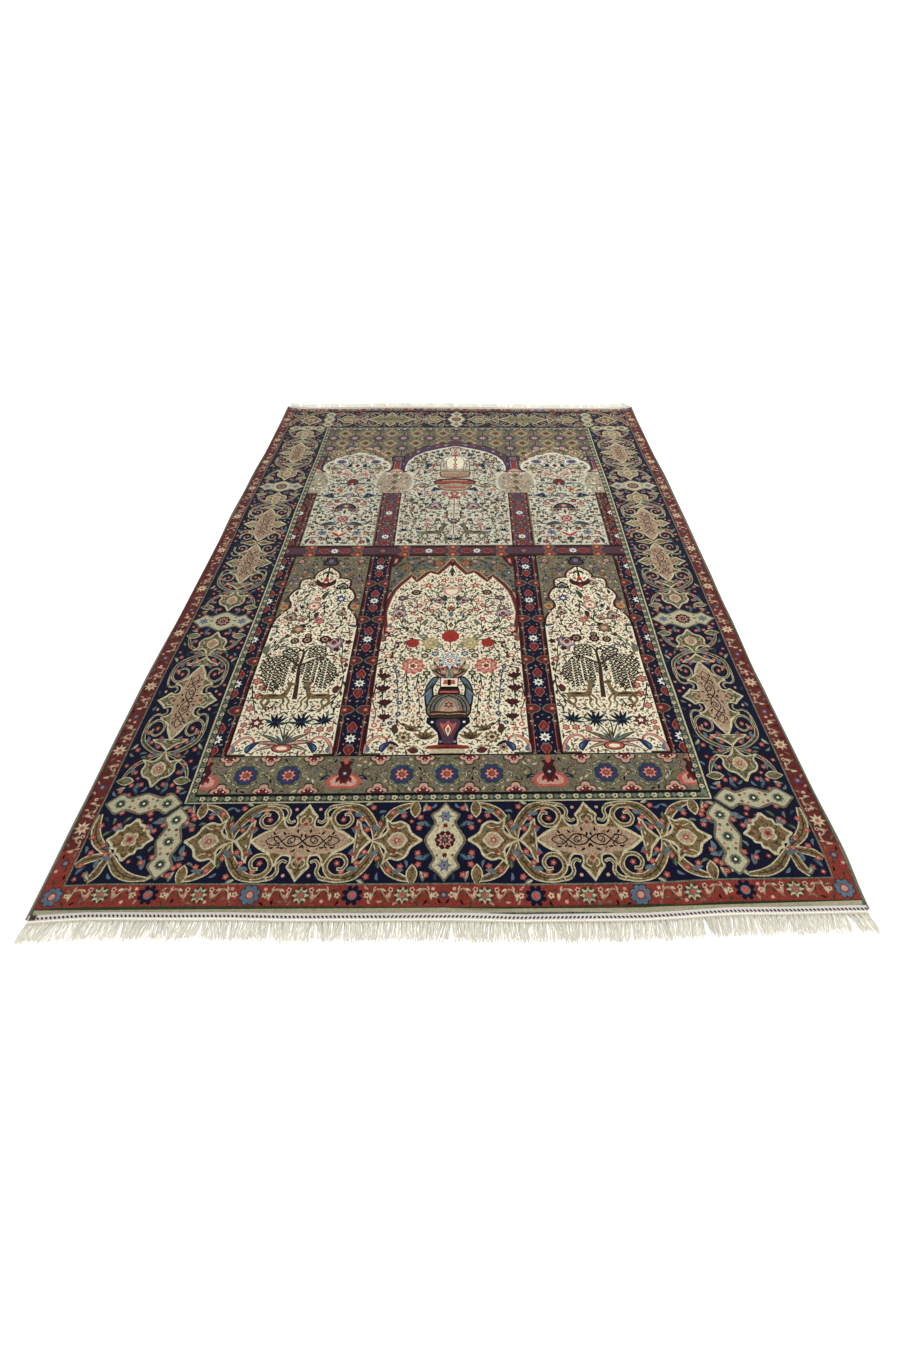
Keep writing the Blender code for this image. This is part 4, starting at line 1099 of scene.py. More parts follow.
put([(mirrored([0 - 7j, 4 - 2j, 3 + 4j, 7j]), "slate")], 441j, clip=middle_arch)
put([(mirrored([0 - 5j, 4 + 0j, 8j]), "madder"), (star(2.2, 1.0, 4), "rose")], 416j, clip=middle_arch)

# the bouquet's heart
for angle, length, yarn in ((62, 46, "moss"), (74, 40, "brown"), (48, 44, "teal"), (84, 34, "moss"),
                            (36, 40, "moss"), (55, 30, "madder"), (68, 26, "coral"), (42, 28, "plum"),
                            (80, 24, "sage"), (28, 32, "brown")):
    put([(leaf(length, 7, 0.25), yarn),
         (leaf(length * 0.72, 2.2, 0.2) + 3, "gold" if yarn == "moss" else "tan")],
        2 + 306j, 1, angle, middle_arch)
for spot, size, petal in ((20 + 356j, 6, "slate"), (34 + 352j, 6, "plum"), (14 + 372j, 5, "sage"),
                          (38 + 392j, 6, "sage"), (22 + 330j, 6, "tan"), (30 + 318j, 6, "moss"),
                          (18 + 344j, 5, "rose"), (64 + 345j, 5, "moss"), (30 + 362j, 5, "moss"),
                          (12 + 330j, 4, "coral"), (8 + 320j, 4, "gold")):
    put([(lobes(1.0, 6, 0.25), petal), (oval(0.45), "cream")], spot, size, clip=middle_arch)
put([(lobes(1.0, 10, 0.1), "brick"), (lobes(0.94, 10, 0.2), "red"), (lobes(0.66, 7, 0.3), "brick"),
     (lobes(0.52, 6, 0.3), "red"), (lobes(0.26, 5, 0.3), "brick")], 392j, 13, clip=middle_arch)
put([(ribbon([0j, 20j], 1.6), "brown")], 362j, clip=middle_arch)
put([(star(18.5, 11.5, 10), "slate"), (star(16.8, 9, 10), "white"), (star(11.5, 7.5, 10), "slate"),
     (star(9.5, 5.5, 10), "white"), (lobes(4.6, 6, 0.3, 5), "coral"), (oval(2, points=6), "ivory")],
    342j, clip=middle_arch)

# the vase
vase = [
    (mirrored([116j, 13 + 116j, 12 + 110j, 12 + 98j, 14 + 94j, 94j]), "ink"),
    (mirrored([115j, 11 + 115j, 10.5 + 100j, 100j]), "ivory"),
    (mirrored([112j, 7 + 112j, 8 + 104j, 104j]), "coral"), (box(-2, 102, 2, 113), "ink"),
    (mirrored([94j, 13 + 95j, 15 + 87j, 86j]), "maroon"),
    (mirrored([92j, 11 + 92j, 12 + 89j, 88.5j]), "coral"),
    (rounded([88j, 16 + 86j, 25 + 78j, 29 + 64j, 26 + 50j, 16 + 42j, 40j], 4), "ink"),
    (rounded([86j, 15 + 84j, 23 + 77j, 27 + 64j, 24 + 51j, 15 + 44j, 42j], 4), "olive"),
    (ribbon(smooth([22 + 48j, 22 + 66j, 15 + 80j, 8 + 84j]), 1.4), "ink"),
    (ribbon(smooth([17.5 + 50j, 17.5 + 66j, 11 + 78j, 84j]), 1.6), "ink"),
    (ribbon(smooth([20 + 50j, 19.5 + 66j, 13 + 78j, 6 + 82.5j]), 1.2), "slate"),
    (rounded([80j, 8 + 76j, 12 + 66j, 13 + 52j, 50j]), "tan"),
    (ribbon(smooth([13 + 52j, 10 + 66j, 5 + 74j, 78j]), 1.4), "slate"), (star(6.5, 3.5, 6) + 68j, "madder"),
    (star(3.5, 1.5, 4) + 68j, "rose"), (lobes(3.0, 5, 0.3) + 7 + 60j, "rose"),
    (lobes(2.6, 5, 0.3) + 15.5 + 58j, "coral"),
    (mirrored([56j, 20 + 58j, 25 + 50j, 14 + 44j, 42j]), "brown"),
    (ribbon([52j, 12 + 53j, 22 + 52j], 1.4), "tan"), (ribbon([47j, 14 + 48j], 1.4), "moss"),
    (mirrored([45j, 26 + 47j, 27 + 38j, 20 + 31j, 13 + 22j, 11 + 12j, 12 + 2j, 2j]), "ink"),
    (mirrored([43j, 25 + 44j, 25 + 38j, 19 + 32j, 12 + 22j, 9.5 + 12j, 10.5 + 4j, 4j]), "navy"),
    (rounded([44j, 12 + 44j, 15 + 36j, 10 + 24j, 7 + 14j, 6 + 6j, 5j]), "plum"),
    (oval(2.0, points=6) + 19.5 + 39j, "white"), (oval(2.0, points=6) + 8.5 + 8j, "lilac"),
    (rounded([42j, 4 + 36j, 10 + 38j, 8 + 30j, 12j]), "coral"), (mirrored([38j, 5.4 + 27j, 14j]), "ink"),
    (mirrored([36j, 4 + 27j, 16j]), "ivory"), (mirrored([32j, 2.4 + 27j, 20j]), "coral"),
    (mirrored([0 - 3j, 27 - 3j, 24 + 2j, 12 + 3.4j, 3.4j]), "brick"),
    (mirrored([0 - 1.4j, 24 - 1.2j, 1j]), "maroon"), (box(-20, -9.5, 20, -3), "cream"),
    (box(-0.5, -12, 21.5, -9.5), "ink"),
]
put(vase, 193j, clip=middle_arch)
handle = [
    (smooth([13 + 116j, 20 + 118j, 27 + 108j, 31 + 94j, 31 + 78j, 28 + 62j, 23 + 74j, 19 + 84j,
             20 + 98j], 4, closed=True), "ink"),
    (smooth([15 + 114j, 20 + 115j, 25.5 + 106j, 29 + 94j, 29 + 80j, 27 + 68j, 23 + 78j, 21.5 + 86j,
             22 + 100j], 4, closed=True), "slate"),
    (leaf(34, 4.4, 0.3) * cmath.exp(-1.35j) + 21 + 108j, "moss"),
    (leaf(16, 2.4, 0.3) * cmath.exp(-1.3j) + 24 + 96j, "lilac"),
]
put(handle, 193j, clip=middle_arch)
corner_curl(98 + 184j, 0.0, middle_arch)

# ----------------------------------------------------------------------------------------
# The upper field: a lattice of ringed rosettes over three round arches. A lamp hangs in the
# middle one, and flowering plants fill the rest between shorter columns.

CAPITAL_FOOT = 802.0
CAPITAL_HEAD = 887.0

lattice_ground = lay(box(0, BAR_TOP, FIELD[0], FIELD[2]), "olive", field_ground)
LATTICE_COLUMNS = (0, 57, 113, 167, 220, 267)
LATTICE_ROWS = (942, 991, 1040, 1088)
HALF_LATTICE_ROW = 24.6
ringed_lilac = [
    (lobes(13.4, 8, 0.12), "brown"), (lobes(12.4, 8, 0.14), "plum"), (oval(8.2, points=10), "ink"),
    (oval(7.4, points=10), "lilac"), (lobes(4.6, 6, 0.3), "rose"), (oval(1.8), "plum"),
]
lattice_diamond = [
    ([-15 + 0j, 0 - 19j, 15 + 0j, 19j], "gold"), ([-12.6 + 0j, 0 - 16.4j, 12.6 + 0j, 16.4j], "tan"),
    ([-10 + 0j, 0 - 13j, 10 + 0j, 13j], "olive"), (lobes(5.6, 4, 0.3, 4), "madder"), (oval(2.0), "brown"),
    (oval(1.2) + 9.5j, "gold"), (oval(1.2) - 9.5j, "gold"),
]
for height in LATTICE_ROWS:
    for left, right in zip(LATTICE_COLUMNS, LATTICE_COLUMNS[1:]):
        middle = (left + right) / 2.0
        put(lattice_diamond, middle + (height - HALF_LATTICE_ROW) * 1j, clip=lattice_ground)
        put([(leaf(9, 4), "moss"), (leaf(9, 4) * -1, "moss")], middle + height * 1j, turn=90,
            clip=lattice_ground)
    for at in LATTICE_COLUMNS:
        put([(box(-0.8, -36, 0.8, -12), "ink"), (leaf(9, 3.4, 0.4) * cmath.exp(-1.0j) + 3 - 14j, "moss"),
             (leaf(9, 3.4, -0.4) * cmath.exp(-2.14j) - 3 - 14j, "moss")],
            at + height * 1j, clip=lattice_ground)
        put(ringed_lilac, at + height * 1j, clip=lattice_ground)

# side arches
half_bulb = np.array([
    60.5 + 625j, 60.5 + 800j, 56 + 812j, 51 + 822j, 48 + 836j, 50 + 852j, 54 + 868j, 59 + 881j, 64 + 892j,
    66 + 906j, 64 + 918j, 58 + 928j, 49 + 935j, 47 + 944j, 36 + 948j, 31 + 956j, 19 + 957j, 13 + 963j,
    6 + 967j, 974j,
])
bulb = mirrored(half_bulb[:-1]) + SIDE_MIDDLE
capital_side = lay(box(SIDE_PANEL[0], CAPITAL_FOOT, FIELD[0], CAPITAL_HEAD), "dun", lattice_ground)
for k in range(26):
    turn = -1 if k % 2 else 1
    t = k // 2 / 12.0
    spot = SIDE_MIDDLE + turn * (8 + 62 * t) + (985 - 60 * t * t - 6 * t) * 1j
    put([(leaf(12, 5.5, 0.9 * turn), ("tan", "russet", "celadon")[k % 3]),
         (leaf(7, 2.4, 0.9 * turn) + 2, "cream")],
        spot, turn=90 - turn * (30 + 60 * t), clip=lattice_ground)
lay(ribbon(smooth(bulb[8:-8], 2), 6.0), "celadon", lattice_ground)
# Its ground is pale, a duller, greener ivory than in the lower arches: the far end's hazier light, painted
# in.
side_bulb = lay(bulb, "pale", lattice_ground)
lay(ribbon(smooth(bulb[8:-8], 2), 2.0), "white", lattice_ground)

red_flower = [(lobes(1.0, 5, 0.3), "madder"), (oval(0.45), "coral")]
dark_berry = [(lobes(1.0, 4, 0.3), "brown"), (oval(0.4), "fawn")]
pad_palmette = [(oval(14, 12, 12), "white"), (oval(11.5, 9.5, 10), "lilac"), (star(10.5, 4.0, 7), "teal"),
                (star(6, 2.4, 5), "navy"), (oval(2), "lilac")]
night_palmette = [
    (rounded([0 - 7j, 9 - 8j, 10 - 2j, 5 + 3j, 10j]), "slate"),
    (rounded([0 - 5j, 6.5 - 6j, 7 - 2j, 3 + 2j, 7j]), "navy"), (oval(1.6) - 2j, "lilac"),
]
for motif, spot, size, *turn in (
    (pad_palmette, 35 + 929j, 1, 10),
    ([(leaf(17, 10, 0.5), "teal"), (leaf(11, 5, 0.5) + 3, "navy")], 12 + 905j, 1, 55), (dark_berry, 954j, 4),
    ([(leaf(1.0, 0.5), "orange"), (leaf(0.6, 0.3), "rose")], 12 + 943j, 12, 70),
    (one_leaf("sage", 0.4, 0.4), 5 + 944j, 13, 80),
    ([(lobes(1.0, 6, 0.2), "gold"), (oval(0.7, points=7), "sage"), (oval(0.3), "brick")], 45 + 900j, 9.5),
    (red_flower, 32 + 884j, 6), (dark_berry, 44 + 882j, 4.5), (red_flower, 54 + 921j, 4.5),
    (dark_berry, 58 + 903j, 4.5), (one_leaf("coral", 0.4, -0.5), 12 + 868j, 20, 75),
    (one_leaf("rose", 0.4, 0.4), 22 + 880j, 16, 100), (dark_berry, 30 + 850j, 5.5),
    (one_leaf("slate", 0.3, -0.4), 8 + 838j, 22, 10), (dark_berry, 35 + 826j, 5), (coral_star, 20 + 815j, 9),
    ([(lobes(1.0, 6, 0.3), "orange"), (oval(0.4), "brick")], 20 + 815j, 6.5), (dark_berry, 35 + 812j, 5),
    (night_palmette, 36 + 794j, 1.15, 20), (dark_berry, 57 + 792j, 4.5), (red_flower, 19 + 771j, 6.5),
    (pink_rosette, 31 + 762j, 6), (dark_berry, 46 + 772j, 4.5), (dark_berry, 57 + 775j, 4),
    (quiet_palmette, 20 + 734j, 10, 20), (dark_berry, 55 + 742j, 5.5), (dark_berry, 47 + 731j, 5),
    (dark_berry, 42 + 716j, 5), (dark_berry, 36 + 706j, 5), (dark_berry, 50 + 700j, 4.5),
    (dark_berry, 58 + 720j, 4.5),
    ([(leaf(1.0, 0.45, -0.9), "teal"), (leaf(0.6, 0.2, -0.8), "slate")], 10 + 690j, 30, 40),
    (red_flower, 26 + 684j, 5.5), (one_leaf("navy", 0.4, 0.5), 22 + 704j, 14, 80),
    (red_flower, 16 + 676j, 6.5), (coral_star, 46 + 662j, 8),
    ([(lobes(1.0, 7, 0.3), "slate"), (oval(0.6, points=6), "lilac"), (oval(0.3), "navy")], 30 + 664j, 8.5),
    (red_flower, 42 + 635j, 6.5), (pink_rosette, 28 + 645j, 5.5),
    (one_leaf("teal", 0.35, 0.6), 52 + 630j, 20, 70), (dark_berry, 18 + 648j, 4.5),
    (dark_berry, 14 + 632j, 4), (dark_berry, 50 + 682j, 4.5),
    (one_leaf("moss", 0.35, 0.5), 40 + 690j, 14, 30), (red_flower, 8 + 740j, 4.5),
    (dark_berry, 10 + 790j, 4.5),
):
    put_pair(motif, SIDE_MIDDLE + spot, SIDE_MIDDLE, size, *turn, clip=side_bulb)
for line, stem, leaves in (
    ([880j, 12 + 896j, 24 + 912j, 40 + 918j, 52 + 908j], "moss", ("teal", "moss")),
    ([860j, 10 + 876j, 26 + 874j, 44 + 884j, 56 + 896j], "rose", ("moss", "sage")),
    ([4 + 836j, 22 + 840j, 38 + 838j, 44 + 826j, 40 + 812j], "moss", ("slate", "moss")),
    ([2 + 800j, 14 + 790j, 30 + 784j, 46 + 790j, 56 + 802j], "moss", ("moss", "sage")),
    ([8 + 780j, 24 + 776j, 40 + 768j, 52 + 758j, 58 + 756j], "teal", ("moss", "teal")),
    ([52 + 758j, 44 + 740j, 34 + 722j, 28 + 712j], "teal", ("teal", "moss")),
    ([3 + 700j, 14 + 690j, 32 + 692j, 48 + 694j, 59 + 688j], "brown", ("moss", "sage")),
    ([2 + 672j, 10 + 684j, 22 + 676j, 38 + 674j, 50 + 662j, 56 + 648j], "brown", ("moss", "sage", "moss")),
    ([6 + 628j, 20 + 640j, 34 + 650j, 44 + 648j], "moss", ("moss", "sage")),
    ([10 + 735j, 24 + 748j, 38 + 752j], "brown", ("moss", "rose")),
):
    put_pair(twig(smooth(line), 1.9, stem, leaves, 7, 8.0), SIDE_MIDDLE + 0j, SIDE_MIDDLE, clip=side_bulb)
for shapes, height in (
    ([([-9 + 0j, 0 - 12j, 9 + 0j, 12j], "white"), ([-6 + 0j, 0 - 9j, 6 + 0j, 9j], "brick"),
      (oval(2.5, points=6), "maroon")],
     912),
    ([(rounded([0 - 14j, 8 - 13j, 12 - 4j, 9 + 8j, 14j]), "plum"),
      (rounded([0 - 14j, 5 - 12j, 7 - 2j, 4 + 10j, 13j]), "madder"),
      (mirrored([0 - 14j, 2.4 - 10j, 0 - 2j]), "rose")], 845),
    ([([-7 + 0j, 0 - 14j, 7 + 0j, 14j], "slate"), ([-4 + 0j, 0 - 9j, 4 + 0j, 9j], "rose")], 790),
    ([(rounded([0 - 9j, 17 - 10j, 19 - 4j, 12 + 6j, 4 + 10j, 9j]), "navy"),
      (rounded([0 - 7j, 13 - 7j, 14 - 3j, 8 + 4j, 6j]), "plum"),
      (oval(6.5, points=9), "fawn"), (oval(4.0, points=7), "rose")], 754),
    ([(lobes(12.5, 8, 0.15), "rose"), (lobes(10, 8, 0.2), "plum"), (lobes(7, 6, 0.2), "rose"),
      (lobes(3.5, 5, 0.3), "brick"), (leaf(6, 3) + 14, "sage")], 709),
    ([(mirrored([0j, 2 + 4j, 13 + 12j, 12 + 6j, 5 - 1j, 0 - 4j]), "red"), (lobes(7.0, 6, 0.2) - 11j, "navy"),
      (lobes(4.0, 6, 0.2) - 11j, "plum"), (mirrored([0 - 17j, 5 - 22j, 0 - 24j]), "moss"),
      (mirrored([2j, 2 + 12j, 26j]), "white")], 655),
    ([(mirrored([0 - 10j, 3.4 + 0j, 12j]), "sage")], 816), ([(mirrored([0 - 9j, 3 + 0j, 10j]), "moss")], 733),
    ([(star(5, 2.2, 4), "gold"), (oval(1.4), "brown")], 876),
):
    put(shapes, SIDE_MIDDLE + height * 1j, clip=side_bulb)

# middle arch: a plum band over the lamp
half_round = np.array([
    98.5 + 625j, 98.5 + 800j, 93 + 806j, 86 + 820j, 82 + 840j, 84 + 860j, 91 + 878j, 98 + 890j, 98.5 + 904j,
    94 + 932j, 82 + 954j, 62 + 973j, 38 + 985j, 17 + 994j, 1000j,
])
band_line = smooth([109 + 888j, 108 + 912j, 101 + 940j, 88 + 963j, 66 + 984j, 40 + 998j, 16 + 1007j,
                    1012j, -10 + 1012j], 4)
lay(ribbon(band_line, 21), "ink", lattice_ground)
plum_band = lay(ribbon(band_line, 17.6), "plum", lattice_ground)
for k, spot in enumerate(band_line[2:-4:3]):
    put([(lobes(4.6, 5, 0.3), ("madder", "lilac", "blue")[k % 3]),
         (oval(1.8), ("rose", "rose", "lilac")[k % 3]), (leaf(8, 3, 0.8) + 3, "lilac"),
         (leaf(8, 3, 0.8) * -1 - 3, "blue")], spot, turn=20 * k, clip=plum_band)
put([(star(8, 4, 6), "madder"), (star(5, 2.4, 6), "red"), (oval(1.8), "ink")], 1012j, clip=lattice_ground)
# Its ground is pale, a duller, greener ivory than in the lower arches: the far end's hazier light, painted
# in.
middle_round = lay(mirrored(half_round[:-1])[:2 * len(half_round)], "pale", lattice_ground)
lay(ribbon(half_round[7:], 2.2), "white", lattice_ground)
capital_ground = lay(box(82, CAPITAL_FOOT, 150, CAPITAL_HEAD), "dun", lattice_ground)
lay(half_round[2:9].tolist() + [82 + 887j, 78 + 845j, 84 + 802j], "pale", capital_ground)
lay([150 + 887j, 139 + 887j, 146 + 870j, 149 + 850j, 151 + 836j, 147 + 822j, 140 + 810j, 136 + 802j,
     150 + 802j],
    "pale", capital_ground)
mottle = random.Random(5)
for left, right, count, clip in ((88, 147, 120, capital_ground), (246, 278, 60, capital_side)):
    for k in range(count):
        spot = mottle.uniform(left, right) + 1j * mottle.uniform(CAPITAL_FOOT, CAPITAL_HEAD)
        yarn = ("fawn", "pale", "celadon", "ivory", "sage", "tan", "rose", "khaki")[mottle.randrange(8)]
        put([(leaf(mottle.uniform(5, 11), mottle.uniform(2.5, 4.5), mottle.uniform(-1, 1)), yarn)], spot,
            turn=mottle.uniform(0, 360), clip=clip)
for height in (820, 845, 870):
    for at in (103, 129):
        put([(lobes(4.6, 6, 0.3), "rose"), (oval(2.0), "brown")], at + height * 1j, clip=capital_ground)
    put([([-6 + 0j, 0 - 9j, 6 + 0j, 9j], "brown"), ([-4 + 0j, 0 - 6.5j, 4 + 0j, 6.5j], "fawn")],
        COLUMN_MIDDLE + height * 1j, clip=capital_ground)

# shorter columns under the capitals, and their stubs above
UPPER_STARS = (651, 729)
column(COLUMN_MIDDLE, COLUMN_HALF, BAR_TOP, CAPITAL_FOOT, UPPER_STARS, "plum", lattice_ground,
       ("madder", "brick"))
edge_upper = lay(box(SIDE_PANEL[1], BAR_TOP, FIELD[0], CAPITAL_FOOT), "ink", lattice_ground)
column(EDGE_COLUMN_MIDDLE, COLUMN_HALF, BAR_TOP, CAPITAL_FOOT, UPPER_STARS, "maroon", edge_upper,
       ("madder", "plum"))
column_stub = [
    (rounded([0 - 2j, 22 - 2j, 13 + 10j, 10 + 34j, 14 + 50j, 12 + 66j, 68j]), "ink"),
    (rounded([0j, 18 + 0j, 11 + 11j, 8 + 34j, 12 + 50j, 10 + 64j, 66j]), "plum"),
    (mirrored([8j, 5 + 12j, 4 + 40j, 44j]), "brick"), (mirrored([0j, 14 + 0j, 6 + 10j, 12j]), "rose"),
    (lobes(7, 6, 0.2) + 56j, "lilac"), (lobes(4, 6, 0.2) + 56j, "plum"),
    (ribbon([6 + 14j, 6 + 44j], 1.6), "lilac"), (ribbon([-6 + 14j, -6 + 44j], 1.6), "lilac"),
]
put(column_stub, COLUMN_MIDDLE + CAPITAL_HEAD * 1j, clip=lattice_ground)
put(column_stub, FIELD[0] + CAPITAL_HEAD * 1j, clip=lattice_ground)

# the lamp on its chain
lamp = [
    (mirrored([0j, 41 - 2j, 42 - 6j, 0 - 4j]), "brown"), (mirrored([0 - 1j, 38 - 3j, 0 - 3j]), "rose"),
    (rounded([0 - 6j, 28 - 8j, 30 - 20j, 24 - 34j, 0 - 36j]), "brown"),
    (rounded([0 - 8j, 26 - 10j, 27 - 20j, 22 - 32j, 0 - 33j]), "tan"),
    (mirrored([0 - 36j, 30 - 40j, 42 - 50j, 38 - 60j, 28 - 62j, 0 - 58j]), "brown"),
    (mirrored([0 - 40j, 8 - 42j, 12 - 56j, 0 - 54j]), "russet"),
    (mirrored([16 - 44j, 24 - 45j, 26 - 58j, 18 - 57j, 20 - 50j]), "tan"),
    (mirrored([30 - 48j, 37 - 52j, 35 - 58j, 29 - 57j]), "russet"),
    (rounded([0 - 62j, 32 - 64j, 27 - 78j, 16 - 86j, 0 - 87j]), "brown"),
    (rounded([0 - 64j, 29 - 66j, 24 - 77j, 14 - 84j, 0 - 84j]), "tan"),
    (mirrored([0 - 70j, 22 - 70j, 20 - 75j, 0 - 75j]), "russet"),
    (mirrored([0 - 87j, 10 - 92j, 5 - 104j, 0 - 112j]), "russet"),
    (mirrored([0 - 90j, 4 - 96j, 0 - 106j]), "rose"), (box(-0.9, -240, 0.9, -112), "russet"),
    (mirrored([0j, 12 + 6j, 16 + 20j, 20 + 48j, 12 + 56j, 58j]), "ivory"),
]
put(lamp, 896j, clip=middle_round)
for line, width in (([28 + 890j, 29 + 920j, 24 + 945j, 10 + 956j, 957j], 1.8), ([896j, 996j], 2.0),
                    ([16 + 892j, 18 + 925j, 14 + 945j, 2 + 955j], 1.2)):
    put_pair([(ribbon(smooth(line), width), "brown")], 0j, 0.0, clip=middle_round)
for height in (990, 975, 962, 938, 916, 904):
    put([(oval(4.2, 5.2, 8), "brick"), (oval(1.8, 2.4, 6), "ivory")], height * 1j, clip=middle_round)
put([(star(9, 3, 4), "red"), (oval(2), "coral")], 955j, clip=middle_round)
for height, reach in ((876, 22), (866, 24)):
    put([(ribbon([-reach + 0j, 0j, reach + 0j], 1.2), "brown")], height * 1j, clip=middle_round)
for at in (6, 14, 21):
    put_pair([(lobes(2.8, 5, 0.3), "coral")], at + 871j, 0.0, clip=middle_round)

# plants round the lamp
night_star = [(star(12.0, 5.0, 6, 0), "navy"), (oval(4.4, points=7), "lilac"), (oval(2.4, points=6), "rose")]
put(night_star, 702j, clip=middle_round)
for motif, spot, size, *turn in (
    (night_palmette, 52 + 915j, 1.2, -30), (pink_rosette, 42 + 915j, 6), (teal_spray, 88 + 890j, 13, 60),
    (teal_spray, 62 + 884j, 12, 90), (quiet_palmette, 68 + 922j, 11, 10), (coral_star, 72 + 902j, 7),
    (red_flower, 62 + 964j, 6), (dark_berry, 46 + 971j, 5.5), (dark_berry, 48 + 956j, 5),
    (dark_berry, 72 + 955j, 5), (dark_berry, 64 + 941j, 5), (red_flower, 80 + 944j, 5.5),
    (dark_berry, 37 + 977j, 5), (dark_berry, 17 + 967j, 6.5), (dark_berry, 24 + 981j, 5),
    (night_palmette, 30 + 962j, 0.9, 30), (dark_berry, 38 + 946j, 4.5), (dark_berry, 30 + 944j, 4.5),
    (dark_berry, 86 + 928j, 5), (dark_berry, 76 + 934j, 5), (dark_berry, 40 + 930j, 4.5),
    (dark_berry, 34 + 914j, 4.5), (pink_rosette, 48 + 892j, 5), (dark_berry, 56 + 900j, 4.5),
    (coral_star, 72 + 814j, 8.5), (night_palmette, 36 + 817j, 1.0, -20), (quiet_palmette, 58 + 822j, 12),
    (peach_rose, 48 + 799j, 8), (teal_spray, 68 + 796j, 12, 70), (teal_spray, 82 + 776j, 13, 100),
    (quiet_palmette, 84 + 770j, 10, -30), (teal_spray, 42 + 776j, 12, 90),
    (plum_palmette, 36 + 742j, 16, 10), (dark_berry, 58 + 778j, 5), (dark_berry, 28 + 792j, 4.5),
    (pink_rosette, 18 + 800j, 6.5), (red_flower, 6 + 784j, 6), (dark_berry, 50 + 762j, 5),
    (dark_berry, 70 + 765j, 5.5), (dark_berry, 60 + 752j, 5), (pink_rosette, 76 + 745j, 5),
    (dark_berry, 88 + 752j, 5), (dark_berry, 56 + 738j, 5), (dark_berry, 68 + 730j, 5),
    (dark_berry, 16 + 746j, 5), (dark_berry, 14 + 728j, 5), (pink_rosette, 16 + 715j, 5),
    (dark_berry, 28 + 706j, 5.5), (dark_berry, 40 + 720j, 4.5), (dark_berry, 84 + 720j, 5),
    (quiet_palmette, 84 + 690j, 8), (pink_rosette, 46 + 690j, 5), (teal_spray, 86 + 668j, 13),
    (teal_spray, 61 + 672j, 12, 10), (red_flower, 91 + 640j, 5.5), (teal_spray, 76 + 636j, 11, 20),
    (teal_spray, 8 + 640j, 13, 20), (dark_berry, 72 + 633j, 4.5), (dark_berry, 28 + 645j, 5),
    (dark_berry, 40 + 634j, 4.5), (pink_rosette, 56 + 632j, 4.5), (dark_berry, 92 + 700j, 5),
    (dark_berry, 92 + 735j, 4.5), (coral_star, 90 + 806j, 6),
    (one_leaf("brown", 0.4, 0.6), 24 + 670j, 22, 95), (one_leaf("fawn", 0.35, 0.5), 20 + 668j, 16, 80),
):
    put(motif, spot, size, *turn, clip=middle_round)
for line, stem, leaves in (
    ([72 + 645j, 73 + 672j, 70 + 700j, 84 + 722j, 90 + 748j], "fawn", ("moss", "sage", "moss")),
    ([71 + 695j, 62 + 716j, 58 + 738j, 66 + 760j], "fawn", ("moss", "sage")),
    ([66 + 706j, 76 + 726j, 74 + 750j, 80 + 772j], "brown", ("moss", "sage")),
    ([58 + 738j, 46 + 752j, 40 + 770j, 46 + 792j, 56 + 812j], "brown", ("moss", "slate")),
    ([50 + 752j, 60 + 774j, 72 + 790j, 84 + 800j], "moss", ("sage", "moss")),
    ([2 + 690j, 12 + 712j, 14 + 738j, 26 + 756j, 24 + 778j, 16 + 796j], "brown", ("moss", "sage")),
    ([4 + 668j, 20 + 667j, 30 + 672j], "brown", ("moss", "moss")),
    ([90 + 884j, 78 + 900j, 66 + 910j, 56 + 926j, 50 + 948j], "moss", ("moss", "brown")),
    ([66 + 910j, 78 + 924j, 84 + 936j], "brown", ("moss", "sage")),
    ([40 + 890j, 44 + 906j, 38 + 926j, 34 + 950j, 26 + 970j], "moss", ("moss", "sage")),
    ([56 + 926j, 62 + 946j, 58 + 962j], "brown", ("moss", "brown")),
    ([34 + 835j, 46 + 830j, 62 + 838j, 76 + 830j, 78 + 818j], "moss", ("sage", "moss")),
    ([92 + 628j, 84 + 644j, 84 + 660j], "moss", ("moss", "teal")),
    ([60 + 628j, 58 + 650j, 61 + 668j], "moss", ("moss", "teal")),
    ([12 + 628j, 14 + 650j, 8 + 668j], "moss", ("moss", "sage")),
):
    put(twig(smooth(line), 1.9, stem, leaves, 7, 8.0), clip=middle_round)
put(redyed(gazelle, {"fawn": "khaki", "ink": "brown"}), 56 + 646j, 1.6, clip=middle_round, flip=True)

# ----------------------------------------------------------------------------------------
# Infill. The weaver leaves no bare ground: where a patch of it is still empty, a small leaf,
# bud, floret or vine goes in.

STRIPE_GROUNDS = (pile_ground, guard_inner, border_inner, field_ground, field_upper)


def within(shape, spots):
    """Which spots lie inside a shape."""
    ahead = np.roll(shape, -1)
    low, high = np.minimum(shape.imag, ahead.imag), np.maximum(shape.imag, ahead.imag)
    rise = np.where(high > low, ahead.imag - shape.imag, 1.0)
    slope = (ahead.real - shape.real) / rise
    y = spots.imag[:, None]
    crossing = shape.real + (y - shape.imag) * slope
    hits = (y >= low) & (y < high) & (spots.real[:, None] < crossing)
    return hits.sum(axis=1) % 2 == 1


def topmost(spots):
    """For each spot, the patch that lies on top there, and how many stripe grounds hold it."""
    order = np.argsort(spots.imag)
    ranked = spots[order]
    top = np.full(len(spots), -1)
    stripes = np.full(len(spots), -1)
    clips = set(chart_clips)
    covered = {}
    for k, (shape, clip) in enumerate(zip(chart_shapes, chart_clips)):
        first, last = np.searchsorted(ranked.imag, (shape.imag.min(), shape.imag.max()))
        near = np.arange(first, last)
        x = ranked.real[near]
        near = near[(x >= shape.real.min()) & (x <= shape.real.max())]
        near = near[within(shape, ranked[near])] if len(near) else near
        if clip is not None:
            near = near[covered[clip][near]]
        if k in clips:
            covered[k] = np.zeros(len(spots), bool)
            covered[k][near] = True
        top[near] = k
        if k in STRIPE_GROUNDS:
            stripes[near] = STRIPE_GROUNDS.index(k)
    back = np.empty(len(spots), int)
    back[order] = np.arange(len(spots))
    return top[back], stripes[back]


